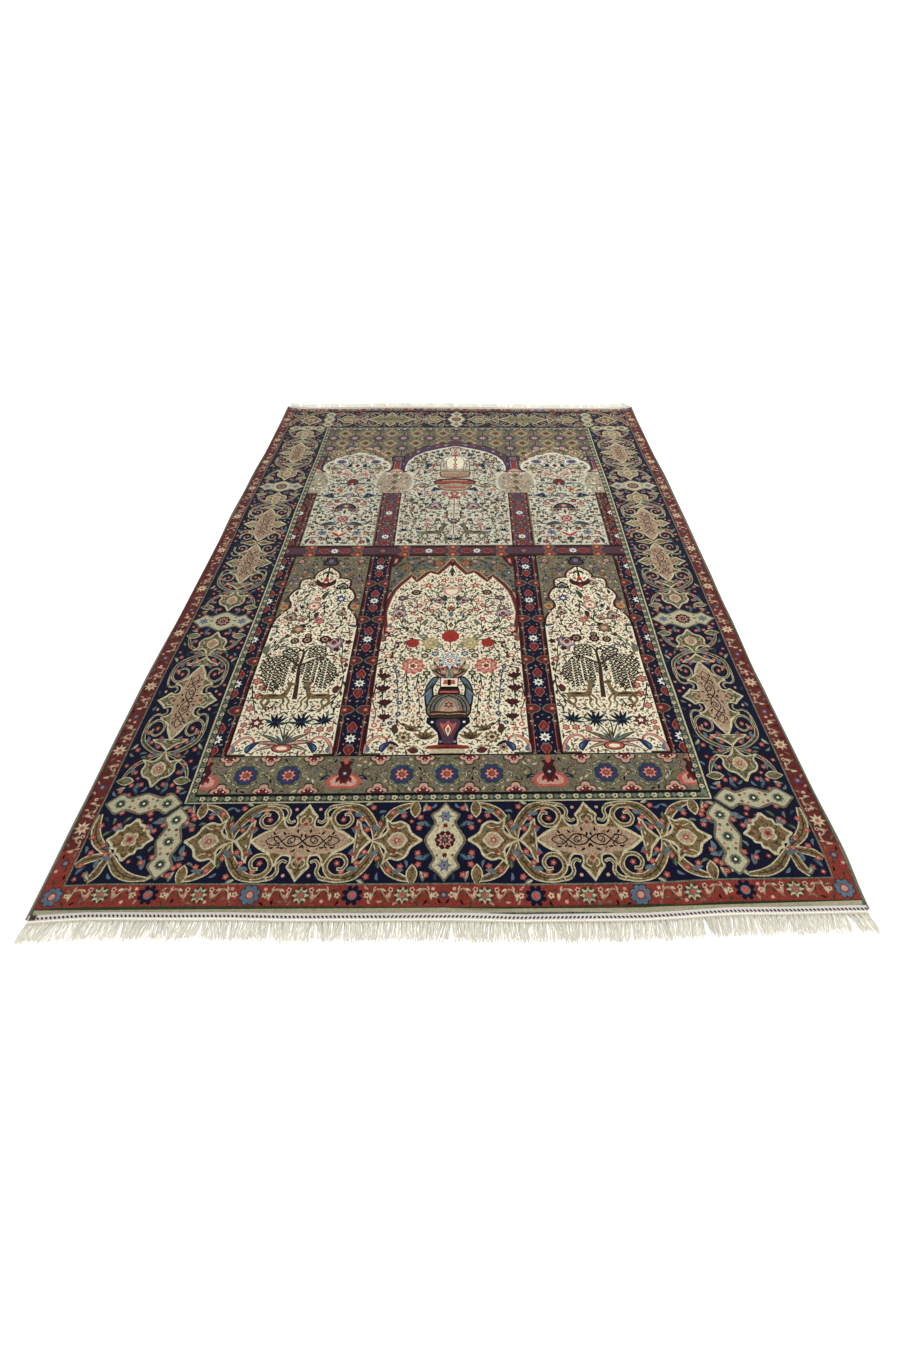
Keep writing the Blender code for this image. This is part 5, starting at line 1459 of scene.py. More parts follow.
# kinds and yarns of sprigs, picked in turn
LIGHT_SPRIGS = (
    ("pair", "moss"), ("bud", "maroon"), ("pair", "brown"), ("pair", "teal"), ("dot", "coral"),
    ("pair", "moss"), ("bud", "madder"), ("pair", "olive"),
)
TINY_SPRIGS = (("leaf", "moss"), ("leaf", "brown"), ("dot", "madder"), ("leaf", "olive"))
VINE_SPRIGS = (
    (("moss", "brown"), "coral"), (("moss", "sage"), "madder"), (("teal", "moss"), "slate"),
    (("brown", "moss"), "russet"), (("moss", "olive"), "plum"),
)
COLUMN_SPRIGS = (("leaf", "sage"), ("dot", "russet"), ("leaf", "slate"), ("leaf", "celadon"), ("dot", "tan"))
DARK_SPRIGS = (("leaf", "slate"), ("dot", "russet"), ("leaf", "sage"), ("leaf", "teal"), ("dot", "brick"),
               ("leaf", "slate"))
OLIVE_SPRIGS = (
    ("leaf", "moss"), ("leaf", "ink"), ("dot", "rose"), ("leaf", "gold"), ("leaf", "slate"),
    ("bud", "madder"), ("leaf", "cream"), ("dot", "madder"),
)
RED_SPRIGS = (("leaf", "moss"), ("leaf", "tan"), ("dot", "rose"), ("leaf", "ink"), ("leaf", "olive"))


def sprig(kind, yarn, size):
    """A pair of leaves, one leaf, a bud or a dot."""
    if kind == "pair":
        return [(ribbon([-size * 0.9 + 0j, 0j], 1.4), "brown"),
                (leaf(size * 1.35, size * 0.62, 0.5, 3) * cmath.exp(0.75j), yarn),
                (leaf(size * 1.35, size * 0.62, -0.5, 3) * cmath.exp(-0.75j), "moss"),
                (lobes(size * 0.4, 5, 0.3, 2) + size * 0.5, "russet")]
    if kind == "leaf":
        return [(leaf(size * 1.9, size * 0.75, 0.7, 3) - size * 0.9, yarn)]
    if kind == "bud":
        return [(leaf(size * 1.5, size * 0.9, 0.0, 3) - size * 0.7, yarn), (oval(size * 0.3), "tan"),
                (leaf(size * 1.1, size * 0.4, 0.8, 2) - size * 1.5, "moss")]
    return [(lobes(size * 0.66, 5, 0.3, 2), yarn), (oval(size * 0.24, points=4), "cream")]


def vine(leaves, bloom, size):
    """A short curving stem with leaves along it and a bloom at its tip."""
    line = smooth([-size + 0j, -0.45 * size + 0.35 * size * 1j, 0.2 * size - 0.1j * size,
                   0.8 * size + 0.3j * size], 4)
    tip = line[-1]
    return twig(line, 1.8, "brown", leaves, size * 0.40, size * 0.78, start=size * 0.2) + [
        (lobes(size * 0.42, 5, 0.3) + tip, "brown"), (lobes(size * 0.32, 5, 0.3) + tip, bloom),
        (oval(size * 0.12) + tip, "ivory"),
    ]


SEARCH_STEP = 1.5            # squares of the chart between the spots that are tried


def fill_gaps(grounds, box_corners, reach, sprigs, seed):
    """Sets sprigs on bare ground, each at least its own reach from everything else."""
    left, bottom, right, top = box_corners
    xs = np.arange(left, right, SEARCH_STEP)
    ys = np.arange(bottom, top, SEARCH_STEP)
    spots = (xs[None, :] + 1j * ys[:, None]).ravel()
    patch, _ = topmost(spots)
    bare = np.isin(patch, grounds).reshape(len(ys), len(xs))
    ring = int(round(reach / SEARCH_STEP))
    offsets = [(i, j) for i in range(-ring, ring + 1) for j in range(-ring, ring + 1)
               if i * i + j * j <= ring * ring + 1]
    picker = random.Random(seed)
    order = [(row, col) for row in range(ring, len(ys) - ring) for col in range(ring, len(xs) - ring)]
    picker.shuffle(order)
    count = 0
    for row, col in order:
        if not bare[row, col] or not all(bare[row + i, col + j] for i, j in offsets):
            continue
        kind, yarn = sprigs[count % len(sprigs)]
        motif = vine(kind, yarn, reach * 1.25) if isinstance(kind, tuple) else sprig(kind, yarn, reach * 1.05)
        put(motif, xs[col] + 1j * ys[row], turn=picker.uniform(0, 360))
        for i, j in offsets:
            bare[row + i, col + j] = False
        count += 1


fill_gaps((border_ground,), (0, 24, 379, 1186), 4.4, DARK_SPRIGS, 11)
PANELS = (side_arch, middle_arch, side_bulb, middle_round)
fill_gaps(PANELS, (0, 182, 260, 1000), 7.4, VINE_SPRIGS, 21)
fill_gaps(PANELS, (0, 182, 260, 1000), 3.6, LIGHT_SPRIGS, 12)
fill_gaps((side_arch, middle_arch), (0, 182, 260, 600), 2.2, TINY_SPRIGS, 13)
fill_gaps(column_grounds, (98, 182, 278, 802), 2.3, COLUMN_SPRIGS, 16)
fill_gaps((side_ground, middle_ground, lattice_ground, band_ground), (0, 127, 278, 1082), 3.4, OLIVE_SPRIGS,
          14)
fill_gaps((guard_ground, side_brick), (0, 2, 398, 1197), 3.2, RED_SPRIGS, 15)

# ----------------------------------------------------------------------------------------
# The chart becomes the knotted face: one flat partition, each triangle in the yarn that lies
# on top there, cut into the closed pieces that the stripes divide it into.

GRID_STEP = 10.0             # spare points, so that the face can follow the ripples


def partition(points, edges):
    """Triangles over points and edges that may cross: points, triangles, patches, stripes."""
    out = delaunay_2d_cdt([Vector(p) for p in points], edges, [], 0, 1e-4, False)
    plane = np.array([(v.x, v.y) for v in out[0]])
    tris = np.array([tri for tri in out[2] if len(tri) == 3])
    middles = plane[tris].mean(axis=1)
    top, stripes = topmost(middles[:, 0] + 1j * middles[:, 1])
    kept = stripes >= 0
    return plane, tris[kept], np.array(chart_yarns)[top[kept]], stripes[kept]


def weave_chart():
    """The right half of the chart as triangles, with no edges left inside a patch of one yarn."""
    points = []
    edges = []
    for shape in chart_shapes:
        first, count = len(points), len(shape)
        points.extend(zip(shape.real, shape.imag))
        edges.extend((first + k, first + (k + 1) % count) for k in range(count))
    plane, tris, yarns, stripes = partition(points, edges)
    look = yarns + 100 * stripes
    owner = {}
    for number, (a, b, c) in enumerate(tris.tolist()):
        owner[a, b] = owner[b, c] = owner[c, a] = number
    seams = [(a, b) for (a, b), number in owner.items()
             if (b, a) not in owner or (a < b and look[number] != look[owner[b, a]])]
    used, seams = np.unique(np.array(seams), return_inverse=True)
    points = plane[used].tolist()
    for x in np.arange(GRID_STEP / 2, PILE[0], GRID_STEP):
        points.extend((x, y) for y in np.arange(PILE[1] + GRID_STEP / 2, PILE[2], GRID_STEP))
    return partition(points, seams.reshape(-1, 2).tolist())


half_plane, half_tris, half_yarns, half_stripes = weave_chart()


def whole_chart():
    """The right half of the chart and its mirror image, joined along the middle line."""
    count = len(half_plane)
    on_line = np.abs(half_plane[:, 0]) < 1e-5
    mirror_index = np.arange(count) + count
    mirror_index[on_line] = np.nonzero(on_line)[0]
    plane = np.concatenate([half_plane, half_plane * (-1.0, 1.0)])
    tris = np.concatenate([half_tris, mirror_index[half_tris[:, ::-1]]])
    return plane, tris, np.tile(half_yarns, 2), np.tile(half_stripes, 2)


chart_plane, chart_tris, chart_tri_yarns, chart_tri_stripes = whole_chart()
PILE_PIECES = (
    "pile_outer_guard", "pile_main_border", "pile_inner_guard", "pile_field_lower",
    "pile_field_upper",
)
FOUNDATION_THICKNESS = 0.0028
PILE_BOTTOM = FOUNDATION_THICKNESS + PARTING
END_FALL = ((0.0, 0.0080), (1.498, 0.0080), (1.505, 0.0074), (1.5075, 0.0066), (1.5095, 0.0054),
            (1.5113, 0.0036))
SIDE_FALL = ((0.0, 0.0056), (0.004, 0.0069), (0.010, 0.0080), (9.0, 0.0080))


def pile_top(u, v):
    """Height of the pile over its own underside."""
    ends = np.interp(np.abs(v), *zip(*END_FALL))
    sides = np.interp((1.0 - np.abs(u)) * HALF_WIDTH, *zip(*SIDE_FALL))
    return np.minimum(ends, sides)


def chart_to_cloth(plane):
    """Chart squares to (u, v), with the middle line drifting to the left."""
    u = plane[:, 0] / SQUARES_ACROSS
    u = u - MIDDLE_DRIFT * (1.0 - u * u)
    v = (plane[:, 1] - SQUARES_ALONG / 2.0) * SQUARE_LENGTH
    return u, v


def boundary_loops(tris):
    """Closed loops of vertices round a set of triangles, each with the face on its left."""
    edges = np.concatenate([tris[:, (0, 1)], tris[:, (1, 2)], tris[:, (2, 0)]])
    there = {tuple(edge) for edge in edges.tolist()}
    following = {a: b for a, b in there if (b, a) not in there}
    loops = []
    while following:
        start, step = following.popitem()
        loop = [start]
        while step != start:
            loop.append(step)
            step = following.pop(step)
        loops.append(loop)
    return loops


def linear(colour):
    """A screen colour of 0 to 255 as light."""
    return tuple((c / 255.0) ** 2.2 for c in colour)


def pile_mesh(name, chosen):
    """A closed piece of pile: the knotted face, its sides and its underside."""
    tris = chart_tris[chosen]
    used, tris = np.unique(tris, return_inverse=True)
    tris = tris.reshape(-1, 3)
    u, v = chart_to_cloth(chart_plane[used])
    x, y = place(u, v)
    base = lift(x, y)
    top = np.column_stack([x, y, base + pile_top(u, v)])
    loops = boundary_loops(tris)
    rim = np.concatenate([np.array(loop) for loop in loops])
    low = top[rim].copy()
    low[:, 2] = base[rim] + PILE_BOTTOM
    under = {old: len(top) + k for k, old in enumerate(rim.tolist())}
    faces = tris.tolist()
    for loop in loops:
        for a, b in zip(loop, loop[1:] + loop[:1]):
            faces.append((b, a, under[a], under[b]))
    flat_loops = [[Vector((*low[under[k] - len(top)][:2], 0.0)) for k in loop] for loop in loops]
    flat_index = [under[k] for loop in loops for k in loop]
    for a, b, c in tessellate_polygon(flat_loops):
        faces.append((flat_index[a], flat_index[b], flat_index[c]))
    mesh = bpy.data.meshes.new(name)
    mesh.from_pydata(np.concatenate([top, low]).tolist(), [], faces)
    colours = np.ones((len(faces), 4), np.float32)
    table = np.array([linear(YARNS[yarn]) for yarn in YARN_NAMES])
    colours[:, :3] = table[YARN_NAMES.index("sage")]
    colours[:len(tris), :3] = table[chart_tri_yarns[chosen]]
    broken = np.array([MOTTLE.get(yarn, PLAIN_MOTTLE) for yarn in YARN_NAMES])
    colours[:len(tris), 3] = broken[chart_tri_yarns[chosen]]
    layer = mesh.attributes.new("yarn", "FLOAT_COLOR", "FACE")
    layer.data.foreach_set("color", colours.ravel())
    mesh.validate()
    return mesh


def close_outwards(mesh):
    """Turns every face of a closed mesh to point outwards."""
    bm = bmesh.new()
    bm.from_mesh(mesh)
    bmesh.ops.recalc_face_normals(bm, faces=bm.faces)
    bm.to_mesh(mesh)
    bm.free()


def add_piece(name, mesh, material, node, smooth_angle=40.0):
    """Puts a finished mesh in the scene as one piece, standing for a node of the frame."""
    obj = bpy.data.objects.new(name, mesh)
    bpy.context.scene.collection.objects.link(obj)
    mesh.materials.clear()
    mesh.materials.append(material)
    mesh.shade_smooth()
    mesh.set_sharp_from_angle(angle=math.radians(smooth_angle))
    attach(obj, BODY)
    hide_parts(node)
    return obj


class Nodes:
    """A material's node tree, with nodes added and joined in one line each."""

    def __init__(self, name):
        self.material = bpy.data.materials.new(name)
        self.material.use_nodes = True
        self.tree = self.material.node_tree
        self.shader = self.tree.nodes["Principled BSDF"]

    def add(self, kind, inputs=(), **settings):
        node = self.tree.nodes.new("ShaderNode" + kind)
        for key, value in settings.items():
            setattr(node, key, value)
        for key, value in dict(inputs).items():
            self.join(value, node.inputs[key])
        return node

    def join(self, value, socket):
        if isinstance(value, bpy.types.NodeSocket):
            self.tree.links.new(value, socket)
        else:
            socket.default_value = value

    def math(self, operation, *values):
        return self.add("Math", enumerate(values), operation=operation).outputs[0]

    def ramp(self, value, stops):
        """A value turned into another by (place, level) stops."""
        node = self.add("ValToRGB", {"Fac": value})
        ramp = node.color_ramp
        for k, (spot, level) in enumerate(stops):
            stop = ramp.elements[k] if k < 2 else ramp.elements.new(spot)
            stop.position = spot
            stop.color = (level, level, level, 1.0)
        return node.outputs[0]

    def bump(self, height, strength, distance):
        node = self.add("Bump", {"Strength": strength, "Distance": distance, "Height": height})
        self.join(node.outputs[0], self.shader.inputs["Normal"])


def pile_material():
    """Short sheared wool: yarn colours that vary from knot to knot, row to row and dye to dye."""
    m = Nodes("knotted_wool_pile")
    spot = m.add("TexCoord").outputs["Object"]
    face = m.add("Attribute", attribute_name="yarn")
    yarn = face.outputs["Color"]
    curls = m.add("TexNoise", {"Vector": spot, "Scale": 105.0, "Detail": 2.0, "Distortion": 1.6}).outputs[0]
    curls = m.ramp(curls, ((0.36, 0.0), (0.60, 1.0)))
    lift_off = m.math("SUBTRACT", 1.0, curls)
    break_up = m.math("SUBTRACT", 1.06, m.math("MULTIPLY", face.outputs["Alpha"], lift_off))
    rows = m.add("Mapping", {"Vector": spot, "Scale": (0.6, 14.0, 1.0)}).outputs[0]
    abrash = m.add("TexNoise", {"Vector": rows, "Scale": 1.6, "Detail": 3.0}).outputs[0]
    cloud = m.add("TexNoise", {"Vector": spot, "Scale": 5.0, "Detail": 3.0}).outputs[0]
    knots = m.add("TexVoronoi", {"Vector": spot, "Scale": 420.0}).outputs["Color"]
    knot_value = m.add("SeparateColor", {0: knots}).outputs[0]
    fuzz = m.add("TexNoise", {"Vector": spot, "Scale": 900.0, "Detail": 2.0}).outputs[0]
    shade = m.math("ADD", m.math("MULTIPLY", abrash, 0.40), m.math("MULTIPLY", cloud, 0.26))
    shade = m.math("ADD", shade, m.math("MULTIPLY", knot_value, 0.36))
    shade = m.math("ADD", shade, m.math("MULTIPLY", fuzz, 0.20))
    shade = m.math("MULTIPLY", m.math("ADD", shade, 0.44), break_up)
    tint = m.add("CombineXYZ", {0: shade, 1: shade, 2: shade}).outputs[0]
    colour = m.add("VectorMath", {0: yarn, 1: tint}, operation="MULTIPLY").outputs[0]
    m.join(colour, m.shader.inputs["Base Color"])
    m.shader.inputs["Roughness"].default_value = 0.9
    m.shader.inputs["Specular IOR Level"].default_value = 0.08
    m.shader.inputs["Sheen Weight"].default_value = 0.08
    m.shader.inputs["Sheen Roughness"].default_value = 0.5
    height = m.math("ADD", m.math("MULTIPLY", knot_value, 0.6), fuzz)
    m.bump(height, 0.5, 0.0012)
    return m.material


wool_pile = pile_material()
for stripe_number, piece_name in enumerate(PILE_PIECES):
    piece_mesh = pile_mesh(piece_name, chart_tri_stripes == stripe_number)
    close_outwards(piece_mesh)
    add_piece(piece_name, piece_mesh, wool_pile, "woven_cloth")

# ----------------------------------------------------------------------------------------
# The foundation. Cotton warps and wefts, the plain grid that the knots are tied on, which shows
# on the rug's underside. It is one sheet under all the pile.


def cloth_slab(name, us, vs, thickness):
    """A closed slab that follows the lie of the cloth."""
    bm = bmesh.new()
    bmesh.ops.create_grid(bm, x_segments=len(us) - 1, y_segments=len(vs) - 1, size=1.0)
    for vert in bm.verts:
        i = round((vert.co.x + 1.0) / 2.0 * (len(us) - 1))
        j = round((vert.co.y + 1.0) / 2.0 * (len(vs) - 1))
        x, y = place(us[i], vs[j])
        vert.co = (x, y, lift(x, y))
    copied = bmesh.ops.extrude_face_region(bm, geom=bm.faces[:], use_keep_orig=True)["geom"]
    for vert in (item for item in copied if isinstance(item, bmesh.types.BMVert)):
        vert.co.z += thickness
    bmesh.ops.recalc_face_normals(bm, faces=bm.faces)
    mesh = bpy.data.meshes.new(name)
    bm.to_mesh(mesh)
    bm.free()
    return mesh


def cotton_material(name, colour, rib=0.0, rib_scale=(600.0, 900.0, 1.0), shaded=False):
    m = Nodes(name)
    spot = m.add("TexCoord").outputs["Object"]
    cloud = m.add("TexNoise", {"Vector": spot, "Scale": 9.0, "Detail": 4.0}).outputs[0]
    fibres = m.add("TexNoise", {"Vector": spot, "Scale": 700.0, "Detail": 2.0}).outputs[0]
    shade = m.math("ADD", m.math("MULTIPLY", cloud, 0.18), m.math("MULTIPLY", fibres, 0.30))
    shade = m.math("ADD", shade, 0.76)
    # painted shade, read from the yarns' shade attribute
    if shaded:
        shade = m.math("MULTIPLY", shade, m.add("Attribute", attribute_name="shade").outputs["Fac"])
    tint = m.add("CombineXYZ", {0: shade, 1: shade, 2: shade}).outputs[0]
    base = linear(colour)
    mixed = m.add("VectorMath", {0: base, 1: tint}, operation="MULTIPLY").outputs[0]
    m.join(mixed, m.shader.inputs["Base Color"])
    m.shader.inputs["Roughness"].default_value = 0.85
    m.shader.inputs["Specular IOR Level"].default_value = 0.2
    m.shader.inputs["Sheen Weight"].default_value = 0.15
    weave = fibres
    if rib:
        grid = m.add("Mapping", {"Vector": spot, "Scale": rib_scale}).outputs[0]
        wefts = m.add("TexWave", {"Vector": grid, "Scale": 1.0, "Distortion": 1.0},
                      bands_direction="Y").outputs[1]
        weave = m.math("ADD", m.math("MULTIPLY", wefts, rib), fibres)
    m.bump(weave, 0.5, 0.0008)
    return m.material


foundation_mesh = cloth_slab(
    "foundation", np.linspace(-1.0, 1.0, 37), np.linspace(-1.5108, 1.5108, 55), FOUNDATION_THICKNESS,
)
foundation = add_piece(
    "foundation", foundation_mesh, cotton_material("foundation_cotton", (196, 186, 160), 0.6),
    "woven_cloth",
)

# ----------------------------------------------------------------------------------------
# The flat-woven ends. A narrow band of plain cotton weft closes the pile at each end, with a
# twined line of dark yarn across it.

BAND_EDGES = (1.5111, 1.5245)
BAND_THICKNESS = 0.0046
band_cotton = cotton_material("flat_weave_cotton", (255, 252, 244), 0.8)
for end_name, out in (("near", -1), ("far", 1)):
    band_mesh = cloth_slab(
        "flat_weave_" + end_name, np.linspace(-1.0, 1.0, 301),
        sorted(out * np.linspace(*BAND_EDGES, 7)), BAND_THICKNESS,
    )
    add_piece(
        "flat_weave_" + end_name, band_mesh, band_cotton, "woven_cloth",
    )

# ----------------------------------------------------------------------------------------
# The twined lines. Across each flat-woven band runs one line of dark yarn, twined over and
# under the warps so that it shows as short slanting stitches, with its end left as a tuft.

TWINING_V = 1.5200
STITCH_PITCH = 0.0098
STITCH_LENGTH = 0.0084
STITCH_WIDTH = 0.0044
STITCH_HALF_HEIGHT = 0.0010
STITCH_SLANT = 48.0
# the runs of one twining, from u to u, and the way its stitches slant
TWINING_RUNS = ((-0.976, -0.16, -1.0), (-0.15, 0.34, 1.0), (0.35, 0.996, -1.0))


class GrowthTree:
    """A Geometry Nodes tree that grows stitches, knots or yarns along lines of vertices."""

    def __init__(self, name, sizes):
        self.tree = bpy.data.node_groups.new(name, "GeometryNodeTree")
        face = self.tree.interface
        face.new_socket("Geometry", in_out="INPUT", socket_type="NodeSocketGeometry")
        face.new_socket("Geometry", in_out="OUTPUT", socket_type="NodeSocketGeometry")
        self.identifiers = {}
        for label, value in sizes.items():
            socket = face.new_socket(label, in_out="INPUT", socket_type="NodeSocketFloat")
            socket.default_value = value
            self.identifiers[label] = socket.identifier
        self.start = self.tree.nodes.new("NodeGroupInput")
        self.end = self.tree.nodes.new("NodeGroupOutput")
        self.line = self.add("MeshToCurve", {"Mesh": self.start.outputs["Geometry"]}).outputs[0]

    def size(self, label):
        return self.start.outputs[label]

    def add(self, kind, inputs=(), family="GeometryNode", **settings):
        node = self.tree.nodes.new(family + kind)
        for key, value in settings.items():
            setattr(node, key, value)
        for key, value in dict(inputs).items():
            if isinstance(value, bpy.types.NodeSocket):
                self.tree.links.new(value, node.inputs[key])
            else:
                node.inputs[key].default_value = value
        return node

    def vector(self, *values):
        return self.add("CombineXYZ", enumerate(values), "ShaderNode").outputs[0]

    def lump(self, segments, rings, reach):
        """A small ellipsoid, with its three half sizes in reach."""
        ball = self.add("MeshUVSphere", {"Segments": segments, "Rings": rings, "Radius": 1.0})
        return self.add("Transform", {"Geometry": ball.outputs[0], "Scale": reach}).outputs[0]

    def set_along(self, pitch, shape, turn=(0.0, 0.0, 0.0)):
        """Copies of a shape at even steps along the lines, each turned about itself."""
        spots = self.add("CurveToPoints", {"Curve": self.line, "Length": pitch}, mode="LENGTH")
        copies = self.add("InstanceOnPoints", {
            "Points": spots.outputs["Points"], "Instance": shape, "Rotation": spots.outputs["Rotation"],
        })
        turned = self.add("RotateInstances", {"Instances": copies.outputs[0], "Rotation": turn})
        return turned.outputs[0]

    def sweep(self, radius, sides, lines=None):
        """A round yarn along each line, closed at both ends."""
        ring = self.add("CurvePrimitiveCircle", {"Resolution": sides, "Radius": radius}, mode="RADIUS")
        return self.add("CurveToMesh", {
            "Curve": self.line if lines is None else lines, "Profile Curve": ring.outputs[0],
            "Fill Caps": True,
        }).outputs[0]

    def finish(self, parts, material):
        joined = self.add("JoinGeometry")
        for part in parts:
            self.tree.links.new(part, joined.inputs[0])
        real = self.add("RealizeInstances", {"Geometry": joined.outputs[0]})
        dyed = self.add("SetMaterial", {"Geometry": real.outputs[0], "Material": material})
        self.tree.links.new(dyed.outputs[0], self.end.inputs[0])

    def grow(self, name, lines, sizes=(), shades=None):
        """Runs the tree over lines of points and returns what grows there as a plain mesh."""
        points = [spot for line in lines for spot in line]
        edges = []
        for line in lines:
            first = edges[-1][1] + 1 if edges else 0
            edges.extend((first + k, first + k + 1) for k in range(len(line) - 1))
        mesh = bpy.data.meshes.new(name + "_lines")
        mesh.from_pydata(points, edges, [])
        if shades is not None:
            mesh.attributes.new("shade", "FLOAT", "POINT").data.foreach_set("value", shades)
        obj = bpy.data.objects.new(name + "_lines", mesh)
        bpy.context.scene.collection.objects.link(obj)
        modifier = obj.modifiers.new(self.tree.name, "NODES")
        modifier.node_group = self.tree
        for label, value in dict(sizes).items():
            modifier[self.identifiers[label]] = value
        evaluated = obj.evaluated_get(bpy.context.evaluated_depsgraph_get())
        grown = bpy.data.meshes.new_from_object(evaluated)
        grown.name = name
        obj.modifiers.remove(modifier)
        bpy.data.objects.remove(obj)
        close_outwards(grown)
        return grown


def cloth_line(us, v, height):
    """Points across the cloth at one v, at a height over its underside."""
    x, y = place(us, v)
    return np.column_stack([x, y, lift(x, y) + height]).tolist()


dark_twine = cotton_material("dark_twining_yarn", (80, 16, 30))
twining = GrowthTree("twined_stitches", {
    "Pitch": STITCH_PITCH, "Half length": STITCH_LENGTH / 2, "Half width": STITCH_WIDTH / 2,
    "Half height": STITCH_HALF_HEIGHT, "Slant": 0.0,
})
stitch = twining.lump(6, 4, twining.vector(
    twining.size("Half width"), twining.size("Half height"), twining.size("Half length"),
))
twining.finish(
    [twining.set_along(twining.size("Pitch"), stitch, twining.vector(0.0, twining.size("Slant"), 0.0))],
    dark_twine,
)
yarns = GrowthTree("laid_yarns", {"Radius": 0.0008})
yarns.finish([yarns.sweep(yarns.size("Radius"), 4)], dark_twine)
for end_name, out in (("near", -1), ("far", 1)):
    for run_number, (u_first, u_last, way) in enumerate(TWINING_RUNS, 1):
        run_name = "twined_line_%s_%d" % (end_name, run_number)
        us = np.linspace(u_first, u_last, round((u_last - u_first) * 150))
        run_mesh = twining.grow(
            run_name, [cloth_line(us, out * TWINING_V, BAND_THICKNESS + STITCH_HALF_HEIGHT)],
            {"Slant": math.radians(90.0 - STITCH_SLANT * way * out)},
        )
        add_piece(
            run_name, run_mesh, dark_twine, "woven_cloth",
        )

# the tuft: where its first yarn lies, the step to the next one, and how high they lie
TUFT_YARNS = 5
TUFT_V = BAND_EDGES[0] + 0.0016
TUFT_STEP = 0.0024
TUFT_YARN_RADIUS = 0.0009
tuft_us = np.linspace(-0.996, -0.981, 6)
tuft_lines = [
    cloth_line(tuft_us, -TUFT_V - TUFT_STEP * k, BAND_THICKNESS + 0.0013) for k in range(TUFT_YARNS)
]
add_piece(
    "twining_tuft", yarns.grow("twining_tuft", tuft_lines, {"Radius": TUFT_YARN_RADIUS}), dark_twine,
    "woven_cloth",
)

# ----------------------------------------------------------------------------------------
# The side cords. A few warps at each side are wrapped over and over with wool, close enough to
# hide them, into a round cord that stands beside the pile.

OVERCAST_PITCH = 0.0036
OVERCAST_YARN_RADIUS = 0.00085
OVERCAST_SLANT = 18.0
CORD_CORE_RADIUS = CORD_DIAMETER / 2 - OVERCAST_YARN_RADIUS

cord_wool = cotton_material("side_cord_wool", (156, 152, 134))
overcasting = GrowthTree("overcast_cord", {
    "Core radius": CORD_CORE_RADIUS, "Yarn radius": OVERCAST_YARN_RADIUS, "Pitch": OVERCAST_PITCH,
    "Slant": math.radians(OVERCAST_SLANT),
})
wrap = overcasting.add("CurvePrimitiveCircle", {
    "Resolution": 8, "Radius": overcasting.size("Core radius"),
}, mode="RADIUS").outputs[0]
wrap = overcasting.sweep(overcasting.size("Yarn radius"), 3, wrap)
overcasting.finish(
    [
        overcasting.sweep(overcasting.size("Core radius"), 8),
        overcasting.set_along(
            overcasting.size("Pitch"), wrap, overcasting.vector(overcasting.size("Slant"), 0.0, 0.0),
        ),
    ],
    cord_wool,
)
cord_v = np.linspace(-1.5205, 1.5205, 160)
for cord_name, side in (("side_cord_left", -1.0), ("side_cord_right", 1.0)):
    edge_x, edge_y = place(side, cord_v)
    cord_line = np.column_stack([
        edge_x + side * (PARTING + CORD_DIAMETER / 2), edge_y,
        lift(edge_x, edge_y) + CORD_DIAMETER / 2,
    ]).tolist()
    cord_mesh = overcasting.grow("overcast_" + cord_name, [cord_line])
    add_piece("overcast_" + cord_name, cord_mesh, cord_wool, cord_name, 60.0)

# ----------------------------------------------------------------------------------------
# The fringes. The warps run out past the flat weave, are knotted side by side in bundles, and
# lie on the floor as loose cream cotton yarns.

FRINGE_REACH = 1.6045        # origin to the farthest tip, at both ends
KNOTS_PER_END = 150
KNOT_ROW_WIDTH = 0.0085
KNOT_ROW_MIDDLE = BAND_EDGES[1] + PARTING + KNOT_ROW_WIDTH / 2
KNOT_LINE_HEIGHT = 0.0027     # middle of the knots over the cloth's underside
YARNS_PER_KNOT = 16
FRINGE_YARN_RADIUS = 0.00080
# painted shade: the first yarns of each bundle are darkened near the knot, as if the rest of the bundle
# shaded them
OVERLAIN = (1.0, 0.7, 0.3)   # how far the first yarns of a bundle lie in the shade of the rest
# name, outwards, length, lean at the left and at the right corner, sway and its pitch
FRINGES = (
    ("fringe_near", -1, 0.054, -30.0, 22.0, 7.0, 0.118),
    ("fringe_far", 1, 0.072, 0.0, 0.0, 5.0, 0.134),
)

fringe_cotton = cotton_material("fringe_cotton", (255, 251, 236), shaded=True)
knot_cotton = cotton_material("fringe_knot_cotton", (252, 245, 226))
fringe_yarns = GrowthTree("fringe_yarns", {"Radius": FRINGE_YARN_RADIUS})
fringe_yarns.finish([fringe_yarns.sweep(fringe_yarns.size("Radius"), 4)], fringe_cotton)
knotting = GrowthTree("knot_row", {
    "Pitch": 0.0068, "Half length": 0.0037, "Half width": 0.0034, "Half height": 0.0024, "Slant": 0.6,
})
knot = knotting.lump(7, 4, knotting.vector(
    knotting.size("Half width"), knotting.size("Half height"), knotting.size("Half length"),
))
knotting.finish(
    [knotting.set_along(knotting.size("Pitch"), knot, knotting.vector(0.0, knotting.size("Slant"), 0.0))],
    knot_cotton,
)


